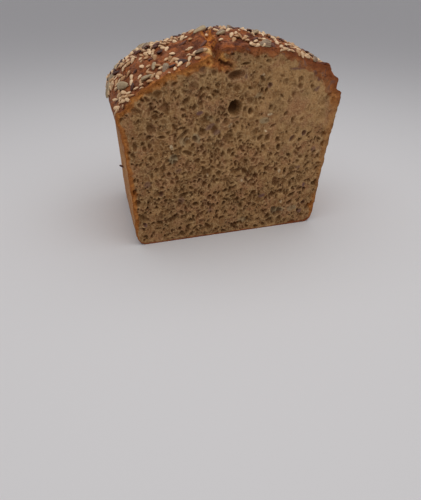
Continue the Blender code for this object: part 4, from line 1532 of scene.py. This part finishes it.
    def band_width(self, flat: np.ndarray) -> np.ndarray:
        """How wide the baked band shows: narrow at the base, wide over the crown and at the right shoulder.

        Args:
            flat: Points of the cut face, as x and z on the last axis.

        Returns:
            Widths in metres.
        """
        x, z = flat[..., 0], flat[..., 1]
        high = smooth(66 * MM, 84 * MM, z)
        width = 1.0 * MM + 1.9 * MM * smooth(2 * MM, 14 * MM, z) + 0.9 * MM * high
        right_crown = 1.6 * MM * smooth(2 * MM, 24 * MM, x) * high
        right_wall = 0.9 * MM * smooth(30 * MM, 50 * MM, x) * (1.0 - high)
        from_shoulder = np.hypot(x - 50 * MM, z - 80 * MM) / (13 * MM)
        return width + right_crown + right_wall + 2.5 * MM * np.exp(-(from_shoulder**2))

    def baked_masks(self, flat: np.ndarray, space: np.ndarray, share: np.ndarray) -> Masks:
        """Where the cut is baked: the band along the crust, its dark outer part, and where it is redder.

        The band is weak on the lower right wall and dark at the base.

        Args:
            flat: Points of the cut face, as x and z on the last axis.
            space: The same points with a y of 0, for noise.
            share: Their distances from the outline as shares of the band's width.

        Returns:
            The masks by name, from 0 to 1.
        """
        x, z = flat[..., 0], flat[..., 1]
        band, outer = smooth(1.0, 0.35, share), smooth(0.5, 0.1, share)
        low_wall = smooth(80 * MM, 68 * MM, z)
        left_wall = 0.5 * smooth(0.1, 0.5, band) * low_wall * smooth(-30 * MM, -45 * MM, x)
        base = 0.9 * smooth(0.1, 0.6, band) * smooth(5 * MM, 2 * MM, z)
        outer = np.maximum(np.maximum(outer, left_wall), base)
        weak = 1.0 - 0.76 * low_wall * smooth(30 * MM, 45 * MM, x) * smooth(8 * MM, 20 * MM, z)
        uneven = z + 4 * MM * layered_noise(space, 8 * MM, 64)
        red = smooth(70 * MM, 86 * MM, uneven) * smooth(-14 * MM, -4 * MM, x)
        red = np.maximum(red, smooth(6 * MM, 1.5 * MM, z))
        return {"band": band * weak, "outer": outer * weak, "red": red}

    def tone(self, flat: np.ndarray, space: np.ndarray) -> np.ndarray:
        """How pale the crumb is: palest at the upper right, darker low down and at the left, and darker below
        the split as a painted shadow of the crown's lip.

        Args:
            flat: Points of the cut face, as x and z on the last axis.
            space: The same points with a y of 0, for noise.

        Returns:
            Tones, with 0.5 for the mean.
        """
        x, z = flat[..., 0], flat[..., 1]
        tone = 0.5 + 0.4 * smooth(-5 * MM, 45 * MM, x) * smooth(35 * MM, 80 * MM, z)
        tone = tone - 0.22 * smooth(48 * MM, 8 * MM, z) - 0.1 * smooth(0.0, -45 * MM, x)
        # Painted shadow of the crown's lip on the crumb below the split.
        shade_below_split = np.hypot((x - 2 * MM) / (16 * MM), (z - 84 * MM) / (12 * MM))
        tone = tone - 0.22 * np.exp(-(shade_below_split**2))
        return tone + 0.26 * layered_noise(space, 12 * MM, 65) + 0.3 * layered_noise(space, 4.5 * MM, 66, 2)

    def core(self, face: np.ndarray) -> tuple[np.ndarray, list[np.ndarray]]:
        """Closes the face behind: two rings that shrink towards the loaf's core, and a back.

        Args:
            face: The face's grid of rows x columns x 3.

        Returns:
            All points, the face's first, and the faces.
        """
        rows, columns = face.shape[:2]
        number = np.arange(rows * columns).reshape(rows, columns)
        loop = np.concatenate([number[0, :-1], number[:-1, -1], number[-1, :0:-1], number[:0:-1, 0]])
        rim = face.reshape(-1, 3)[loop]
        shape, height = self.shape, self.shape.core_height
        first = shape.drawn_in(rim, 0.075, rim[:, 1] + 5.0 * MM, height)
        second = shape.drawn_in(rim, 0.16, shape.cut_y + 0.5 * shape.length, height)
        points = np.concatenate([face.reshape(-1, 3), first, second, second.mean(axis=0)[None]])
        count, start = len(loop), rows * columns
        rings = (loop, start + np.arange(count), start + count + np.arange(count))
        faces = [grid_quads(rows, columns, False)[:, ::-1]]
        for near, far in zip(rings, rings[1:]):
            faces.append(np.stack([near, far, np.roll(far, -1), np.roll(near, -1)], axis=1))
        last = rings[-1]
        faces.append(np.stack([last, np.full(count, len(points) - 1), np.roll(last, -1)], axis=1))
        return points, faces

    def build(self, finish: CrumbFinish) -> bpy.types.Object:
        """Makes the crumb piece: the face is sunk by the raster's depth and by noise, but not at its outline.

        Args:
            finish: The crumb's finish.

        Returns:
            The piece.
        """
        flat = self.patch()
        space = np.stack([flat[..., 0], 0.0 * flat[..., 0], flat[..., 1]], axis=-1)
        drawn, masks = self.draw_face()
        edge = self.edge_distance(flat)
        inside = smooth(0.2 * MM, 2.2 * MM, edge)
        wander = 1.0 + 0.7 * layered_noise(space, 3.5 * MM, 63)
        share = edge / (self.band_width(flat) * wander)
        tissue = 0.3 * layered_noise(space, 3.0 * MM, 61) + 0.14 * layered_noise(space, 1.1 * MM, 62)
        rough = 0.8 * layered_noise(space, 3.0 * MM, 67, 1) * smooth(1.0, 0.35, share)
        depth = inside * (self.raster.sample(drawn, flat) + MM * (tissue + rough))
        cos, sin = math.cos(self.shape.cut_skew), math.sin(self.shape.cut_skew)
        x, y = flat[..., 0] * cos - depth * sin, self.shape.cut_y + flat[..., 0] * sin + depth * cos
        points, faces = self.core(np.stack([x, y, flat[..., 1]], axis=-1))
        values = {name: self.raster.sample(mask, flat) * inside for name, mask in masks.items()}
        values.update(self.baked_masks(flat, space, share), tone=self.tone(flat, space))
        tail = np.zeros(len(points) - flat[..., 0].size)
        values = {name: np.concatenate([mask.reshape(-1), tail]) for name, mask in values.items()}
        return make_piece("crumb", points, faces, finish.build(), values)


# The seeds that stand out: degrees over the crown from the right shoulder (past 180 down the left wall), share
# of the length, degrees turned in the crust's plane, and size against the kind's own.
CLEAR_SEEDS = {
    SeedKind.SESAME: (
        (132.8, 0.374, 63, 1), (131.8, 0.326, 162, 1), (130, 0.306, 70, 1), (129.2, 0.266, 10, 0.9),
        (128, 0.302, 63, 0.9), (133.2, 0.27, 54, 1.1), (128.5, 0.214, 58, 1.1), (136.2, 0.25, 139, 0.9),
        (137, 0.194, 36, 1), (140, 0.386, 128, 1), (141.2, 0.342, 29, 1), (144.2, 0.346, 174, 1),
        (139, 0.354, 52, 0.9), (146.8, 0.414, 111, 0.9), (146.8, 0.234, 15, 1.1), (145.5, 0.166, 64, 1.1),
        (151.2, 0.238, 173, 1), (155.2, 0.258, 149, 1), (158.2, 0.262, 3, 1), (160.8, 0.246, 125, 1),
        (146.8, 0.114, 52, 1), (158.8, 0.15, 29, 1), (154.2, 0.09, 119, 1.1), (150.8, 0.038, 124, 1.1),
        (156.5, 0.054, 126, 1.2), (152.8, 0.01, 131, 1.1), (145.5, 0.026, 43, 1), (142, -0.014, 74, 1),
        (140.8, 0.062, 65, 1.1), (140.5, 0.114, 29, 0.9), (139.3, 0.066, 44, 1), (133.8, 0.09, 151, 1.1),
        (132.8, 0.042, 179, 1.1), (129.5, 0.026, 36, 1.3), (127.2, 0.078, 43, 1.2), (120.2, 0.098, 29, 1.3),
        (121.2, 0.134, 34, 1), (117.5, 0.03, 43, 1.2), (120.5, 0.006, 58, 0.9), (112, 0.154, 55, 1.1),
        (110.2, 0.158, 145, 1.1), (109, 0.086, 51, 1.3), (121.2, 0.254, 56, 1.1), (121.2, 0.342, 7, 1),
        (119.5, 0.33, 58, 1), (123, 0.318, 177, 1), (115.8, 0.322, 178, 1), (112.5, 0.342, 27, 1.1),
        (110.5, 0.346, 11, 1), (109.2, 0.278, 53, 1), (100.8, 0.334, 73, 1.2), (90, 0.174, 64, 1),
        (90.2, 0.09, 64, 1.1), (87.8, 0.146, 23, 1.1), (86, 0.142, 127, 1.1), (84.8, 0.106, 39, 1.1),
        (83.5, 0.082, 100, 1.1), (82.8, 0.142, 109, 1), (82.8, 0.034, 61, 1), (82, 0.018, 127, 1.1),
        (80.2, 0.018, 22, 1.1), (78.2, 0.046, 55, 1), (79.8, 0.074, 50, 1), (74, 0.126, 123, 1.1),
        (72.2, 0.106, 143, 1.1), (77.2, 0.022, 21, 1), (67, 0.142, 148, 1.1), (66.2, 0.102, 101, 1),
        (61, 0.15, 72, 1), (67.2, 0.03, 82, 1.1), (65.5, 0.03, 164, 1.3), (63.5, 0.03, 139, 1.1),
        (60.5, 0.034, 115, 1), (56.8, 0.038, 134, 1.1), (54, 0.038, 120, 1.1), (50.8, 0.042, 168, 1.1),
        (48.8, 0.058, 59, 1), (46.5, 0.062, 117, 1), (53.5, 0.258, 69, 1.1), (53.8, 0.182, 128, 1),
        (52.8, 0.142, 134, 1), (49.5, 0.138, 153, 1), (47.2, 0.114, 165, 1), (78.8, 0.278, 45, 1),
        (83.2, 0.278, 158, 1), (86.8, 0.222, 57, 1), (68.8, 0.418, 69, 1), (72.2, 0.246, 99, 1),
        (66.2, 0.238, 150, 1), (110.2, 0.483, 58, 1.14), (56.7, 0.808, 178, 1.02), (61.8, 0.425, 9, 1.02),
        (65.4, 0.987, 98, 1.07), (36.8, 0.884, 17, 1.08), (67.1, 0.993, 19, 1.08), (31.4, 0.655, 143, 0.97),
        (149.2, 0.431, 5, 0.98), (128.2, 0.746, 153, 1.14), (67.1, 0.321, 62, 0.95),
    ),
    SeedKind.LINSEED: (
        (98.5, 0.51, 78, 0.9), (111.2, 0.554, 82, 0.9), (135.8, 0.414, 136, 1), (124.5, 0.262, 30, 1),
        (130.8, 0.222, 34, 0.9), (114.5, 0.55, 75, 1), (126.3, 0.362, 21, 0.8), (147, 0.626, 93, 0.8),
        (104.5, 0.134, 31, 1.1), (112.5, 0.262, 178, 1), (142.5, 0.19, 3, 0.8), (121.2, 0.046, 177, 0.8),
        (168.8, 0.55, 66, 0.9), (161.8, 0.662, 162, 0.8), (55.2, 0.39, 66, 1), (51.8, 0.286, 65, 1),
        (47.2, 0.222, 47, 1.1), (38, 0.246, 60, 0.9), (83.2, 0.334, 53, 0.9), (80.2, 0.322, 53, 0.9),
        (67.8, 0.254, 60, 0.8), (79, 0.114, 44, 0.8), (71.2, 0.038, 126, 0.8), (53.7, 0.966, 160, 1.09),
        (176.4, 0.969, 75, 0.93), (129.9, 0.841, 0, 1.07), (26, 0.913, 14, 0.92), (157.1, 0.48, 62, 1.14),
        (44, 0.241, 124, 0.9), (81.6, 0.483, 149, 1.14), (124.9, 0.397, 0, 0.96), (112.3, 0.947, 128, 0.86),
        (92, 0.67, 130, 0.97), (14.9, 0.884, 3, 1.02), (14.4, 0.978, 24, 1.05), (70.8, 0.446, 106, 0.88),
        (156.5, 0.779, 174, 0.99), (19.9, 0.111, 133, 1.01), (96.7, 0.544, 64, 0.93), (90.4, 0.502, 154, 1.05),
        (58.8, 0.497, 87, 0.95), (118.1, 0.909, 39, 1.08), (49.5, 0.714, 87, 0.97), (43.8, 0.875, 21, 0.85),
        (23.4, 0.339, 60, 1.14), (250, 0.35, 15, 0.9),
    ),
    SeedKind.KERNEL: (
        (130, 0.482, 82, 0.8), (153.8, 0.574, 80, 0.7), (153, 0.158, 121, 1), (136.2, 0.054, 175, 0.7),
        (130.5, 0.13, 67, 0.6), (125, 0.05, 53, 0.7), (106.8, 0.07, 6, 0.6), (104, 0.346, 28, 0.9),
        (75.5, 0.042, 27, 0.9), (76, 0.27, 46, 0.8), (44, 0.062, 62, 0.6), (86.5, 0.414, 68, 0.8),
        (95.2, 0.214, 51, 0.9), (30.9, 0.843, 73, 1.04), (55.9, 0.541, 64, 1.05), (124.2, 0.689, 82, 0.91),
        (34.9, 0.383, 173, 0.91), (59.4, 0.649, 110, 1.05), (161.3, 0.495, 147, 0.91), (133.3, 0.714, 46, 1.03),
        (17.6, 0.63, 122, 0.87), (10.7, 0.356, 21, 1.13), (9.5, 0.92, 107, 0.89), (172.1, 0.427, 41, 1.03),
        (54.1, 0.871, 93, 1.12), (132.1, 0.619, 50, 1.06), (15.8, 0.479, 98, 0.88), (51.6, 0.924, 82, 1.04),
        (78.1, 0.992, 45, 0.97), (128.2, 0.557, 40, 0.95), (114.2, 0.817, 103, 1.03), (144.7, 0.829, 134, 0.92),
        (50.3, 0.646, 151, 0.89),
    ),
}


@dataclass
class Scatter:
    """Where seeds of one kind lie, and how each is turned, tipped and sized."""

    kind: SeedKind
    angles: np.ndarray
    shares: np.ndarray
    turns: np.ndarray
    sizes: np.ndarray

    def lists(self) -> tuple[np.ndarray, ...]:
        """The seeds' numbers, in the order of the fields."""
        return self.angles, self.shares, self.turns, self.sizes

    def join(self, other: Scatter) -> Scatter:
        """The seeds of both."""
        return Scatter(self.kind, *(np.concatenate(pair) for pair in zip(self.lists(), other.lists())))

    def pick(self, chosen: np.ndarray) -> Scatter:
        """Only the chosen seeds."""
        return Scatter(self.kind, *(numbers[chosen] for numbers in self.lists()))


@dataclass
class Sprinkle:
    """The seeds on the crown: those that show from the cut's side, each in its place, and drifts of others."""

    shape: LoafShape
    lift: float = 0.16
    split_clearance: float = 3.2 * MM
    draw: int = 97
    # The drifts: the most seeds to add, and the least distance between their middles.
    drifts: tuple[tuple[SeedKind, int, float], ...] = (
        (SeedKind.LINSEED, 46, 2.9 * MM),
        (SeedKind.SESAME, 500, 1.95 * MM),
    )

    def clear_seeds(self, kind: SeedKind) -> Scatter:
        """The listed seeds of a kind."""
        angle, share, turn, size = np.array(CLEAR_SEEDS[kind]).T
        return Scatter(kind, np.radians(angle), share, np.radians(turn), size)

    def drift(self, kind: SeedKind, count: int, spacing: float, taken: np.ndarray) -> Scatter:
        """A seeded draw of more seeds: thick in drifts, thin on bare patches, each clear of those before it.

        Args:
            kind: The kind.
            count: The most to add.
            spacing: The least distance between middles.
            taken: Middles of the seeds already there.

        Returns:
            The added seeds.
        """
        draw = np.random.default_rng(self.draw + count)
        tries = 16 * count
        angles = draw.uniform(0.02, 0.98, tries) * math.pi
        shares = draw.uniform(-0.03, 0.995, tries)
        points, _, _ = self.shape.crown_spots(angles, shares)
        amount = layered_noise(points, 11 * MM, 71, 2) + 0.25 * layered_noise(points, 4 * MM, 72, 1)
        keep = draw.uniform(-0.35, 0.3, tries) < amount
        degrees = np.degrees(angles)
        left = (shares < 0.34) & (degrees > 96.0)
        right = (shares < 0.3) & (degrees < 96.0)
        thin = np.where(left, 0.25, np.where(right, 0.3 * smooth(92.0, 60.0, degrees), 1.0))
        keep &= draw.uniform(0.0, 1.0, tries) < thin
        keep &= self.shape.behind_cut(points) > 0.4 * kind.value.length
        keep &= np.abs(self.shape.split_distance(points) - 0.5 * MM) > self.split_clearance
        chosen = []
        for number in np.nonzero(keep)[0]:
            if len(chosen) == count:
                break
            if np.min(np.sum((taken - points[number]) ** 2, axis=1)) > spacing**2:
                taken = np.vstack([taken, points[number]])
                chosen.append(number)
        turns = draw.uniform(0.0, math.pi, tries)
        found = Scatter(kind, angles, shares, turns, draw.uniform(0.85, 1.15, tries))
        return found.pick(np.array(chosen))

    def lay_out(self) -> dict[SeedKind, Scatter]:
        """Lists every seed, the largest kind first.

        Returns:
            The seeds of each kind.
        """
        seeds = {kind: self.clear_seeds(kind) for kind in SeedKind}
        listed = [self.shape.crown_spots(found.angles, found.shares)[0] for found in seeds.values()]
        taken = np.concatenate(listed)
        for kind, count, spacing in self.drifts:
            more = self.drift(kind, count, spacing, taken)
            seeds[kind] = seeds[kind].join(more)
            taken = np.vstack([taken, self.shape.crown_spots(more.angles, more.shares)[0]])
        return seeds

    def template(self, kind: SeedKind) -> tuple[np.ndarray, np.ndarray, np.ndarray]:
        """One seed along X: rings whose girth is sin(a)^0.8 (1 + b cos(a)), blunt at +X and pointed at -X.

        Args:
            kind: The kind.

        Returns:
            Points, three-sided faces, and each point's place across the seed from -1 to 1.
        """
        form = kind.value
        segments, rings = form.segments, form.rings
        angle = math.pi * np.arange(1, rings) / rings
        around = 2.0 * math.pi * np.arange(segments) / segments
        girth = np.sin(angle) ** 0.8 * (1.0 + form.taper * np.cos(angle))
        x = np.broadcast_to(0.5 * form.length * np.cos(angle)[:, None], (rings - 1, segments))
        y = 0.5 * form.width * girth[:, None] * np.cos(around)
        z = 0.5 * form.thickness * girth[:, None] * np.sin(around)
        body = np.stack([x, y, z], axis=-1).reshape(-1, 3)
        points = np.concatenate([body, [[0.5 * form.length, 0.0, 0.0], [-0.5 * form.length, 0.0, 0.0]]])
        quads = grid_quads(rings - 1, segments, True)[:, ::-1]
        first, last = np.arange(segments), (rings - 2) * segments + np.arange(segments)
        blunt = np.stack([np.full(segments, len(body)), first, np.roll(first, -1)], axis=1)
        tip = np.stack([np.full(segments, len(body) + 1), np.roll(last, -1), last], axis=1)
        faces = np.concatenate([quads[:, [0, 1, 2]], quads[:, [0, 2, 3]], blunt, tip])
        side = np.concatenate([np.tile(np.cos(around), rings - 1), [0.0, 0.0]])
        return points, faces, side

    def build(self, found: Scatter, finish: SeedFinish) -> bpy.types.Object:
        """Makes one piece of all seeds of a kind: the template turned, tipped, bent and sunk in the crust.

        Args:
            found: The seeds.
            finish: The kind's finish.

        Returns:
            The piece.
        """
        form, count = found.kind.value, len(found.angles)
        where, up, side = self.shape.crown_spots(found.angles, found.shares)
        draw = np.random.default_rng(count + 5)
        other = np.cross(up, side)
        length = side * np.cos(found.turns)[:, None] + other * np.sin(found.turns)[:, None]
        lean = np.clip(draw.normal(0.0, 1.0, count), -1.8, 1.8) * form.tip
        lean = np.where(found.angles > math.pi, 1.0, lean)
        length = length * np.cos(lean)[:, None] + up * np.sin(lean)[:, None]
        width = np.cross(up, length)
        width /= np.linalg.norm(width, axis=1, keepdims=True)
        roll = (draw.normal(0.0, 0.28, count))[:, None]
        thick = np.cross(length, width)
        rolled = width * np.cos(roll) + thick * np.sin(roll)
        thick = thick * np.cos(roll) - width * np.sin(roll)
        points, faces, around = self.template(found.kind)
        scale = np.stack([found.sizes, found.sizes * draw.uniform(0.85, 1.2, count), found.sizes], axis=1)
        lift = (self.lift * form.thickness + draw.uniform(0.0, 0.4, count) * MM)[:, None]
        axes = np.stack([length, rolled, thick], axis=1) * scale[:, :, None]
        placed = np.einsum("vk,nkd->nvd", points, axes) + (where + up * lift)[:, None]
        bend = 0.12 * form.thickness * layered_noise(placed, 0.5 * form.width, 44, 1)
        points_out = (placed + bend[..., None] * up[:, None]).reshape(-1, 3)
        shift = np.arange(count)[:, None, None] * len(points)
        faces_out = (faces[None] + shift).reshape(-1, 3)
        tone = np.repeat(draw.uniform(0.05, 0.95, count), len(points))
        values = {"tone": tone, "side": np.tile(around, count)}
        return make_piece(form.name, points_out, [faces_out], finish.build(), values)


@dataclass(frozen=True)
class Studio:
    """The pale floor, the soft light and the camera at the photograph's viewing angle."""

    camera_place: tuple[float, float, float] = (-71.3 * MM, -263.3 * MM, 135.7 * MM)
    heading: float = math.radians(15.0)
    pitch: float = math.radians(32.14)
    roll: float = math.radians(1.37)
    focal_pixels: float = 457.4
    image_height: int = 500
    floor_colour: Colour = (0.76, 0.755, 0.757)
    floor_rings: tuple[float, ...] = (0.02, 0.2, 0.6, 1.5, 4.0)
    floor_steps: int = 96
    key_place: tuple[float, float, float] = (0.0, -0.08, 0.42)
    key_size: float = 0.62
    key_power: float = 1.24
    key_colour: Colour = (1.0, 0.985, 0.975)
    sky: Colour = (0.358, 0.352, 0.366)
    sensor_width: float = 36.0

    def camera(self) -> bpy.types.Object:
        """The camera, from its heading, its pitch down and its small roll.

        Returns:
            The camera.
        """
        level = Vector((math.sin(self.heading), math.cos(self.heading), 0.0))
        right = Vector((math.cos(self.heading), -math.sin(self.heading), 0.0))
        forward = level * math.cos(self.pitch) - Vector((0.0, 0.0, math.sin(self.pitch)))
        up = level * math.sin(self.pitch) + Vector((0.0, 0.0, math.cos(self.pitch)))
        tilted = right * math.cos(self.roll) + up * math.sin(self.roll)
        upright = up * math.cos(self.roll) - right * math.sin(self.roll)
        data = bpy.data.cameras.new("camera")
        data.sensor_width = self.sensor_width
        data.lens = self.focal_pixels / self.image_height * self.sensor_width
        data.clip_start, data.clip_end = 0.01, 20.0
        camera = bpy.data.objects.new("camera", data)
        turn = Matrix((tilted, upright, -forward)).transposed().to_4x4()
        camera.matrix_world = Matrix.Translation(Vector(self.camera_place)) @ turn
        bpy.context.scene.collection.objects.link(camera)
        bpy.context.scene.camera = camera
        return camera

    def floor(self) -> bpy.types.Object:
        """A wide round floor, as rings of a flat disc.

        Returns:
            The floor.
        """
        ring = np.arange(self.floor_steps)
        around = 2.0 * math.pi * ring / self.floor_steps
        radius = np.array(self.floor_rings)[:, None]
        points = np.stack([radius * np.cos(around), radius * np.sin(around), 0.0 * radius * around], axis=-1)
        nodes = Nodes("floor")
        material = nodes.finish(self.floor_colour, 0.7, None, 0.2)
        middle = np.concatenate([points.reshape(-1, 3), [[0.0, 0.0, 0.0]]])
        centre = np.stack([np.full(len(ring), len(middle) - 1), ring, np.roll(ring, -1)], axis=1)
        disc = grid_quads(len(radius), len(ring), True)
        floor = make_piece("floor", middle, [disc, centre], material, {})
        return floor

    def lights(self) -> None:
        """A square soft light over the loaf and an even pale sky."""
        data = bpy.data.lights.new("soft_light", "AREA")
        data.size = self.key_size
        data.energy = self.key_power
        data.color = self.key_colour
        lamp = bpy.data.objects.new("soft_light", data)
        lamp.location = self.key_place
        bpy.context.scene.collection.objects.link(lamp)
        world = bpy.data.worlds.new("sky")
        world.use_nodes = True
        world.node_tree.nodes["Background"].inputs["Color"].default_value = (*self.sky, 1.0)
        bpy.context.scene.world = world

    def build(self) -> None:
        """Makes the camera, the floor and the lights, and shows colours as they are."""
        self.camera()
        self.floor()
        self.lights()
        bpy.context.scene.view_settings.view_transform = "Standard"


def report(piece: bpy.types.Object) -> None:
    """Ties a piece to the loaf's body, hides the CAD's own loaf, and logs its size.

    Args:
        piece: The piece.
    """
    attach(piece, "root")
    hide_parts("loaf")
    sides = [side / MM for side in piece.dimensions]
    LOG.info("%s: %d faces, %.1f x %.1f x %.1f mm", piece.name, len(piece.data.polygons), *sides)


def main() -> None:
    """Builds the studio and every piece of the loaf."""
    logging.basicConfig(level=logging.INFO, format="%(message)s")
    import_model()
    Studio().build()
    shape = LoafShape()
    crust = Crust(shape)
    report(crust.build(CrustFinish()))
    crumb = Crumb(shape, crust.front_ring, crust.across, crust.up)
    report(crumb.build(CrumbFinish()))
    sprinkle = Sprinkle(shape)
    seeds = sprinkle.lay_out()
    pale = SeedFinish("toasted_sesame", (0.84, 0.60, 0.36), (0.50, 0.27, 0.12), 0.5, 0.3)
    brown = SeedFinish("brown_linseed", (0.17, 0.06, 0.035), (0.055, 0.02, 0.014), 0.42, 0.25)
    grey = SeedFinish("toasted_kernel", (0.46, 0.35, 0.20), (0.16, 0.085, 0.055), 0.45, 0.35, 0.3)
    report(sprinkle.build(seeds[SeedKind.SESAME], pale))
    report(sprinkle.build(seeds[SeedKind.LINSEED], brown))
    report(sprinkle.build(seeds[SeedKind.KERNEL], grey))


if __name__ == "__main__":
    main()
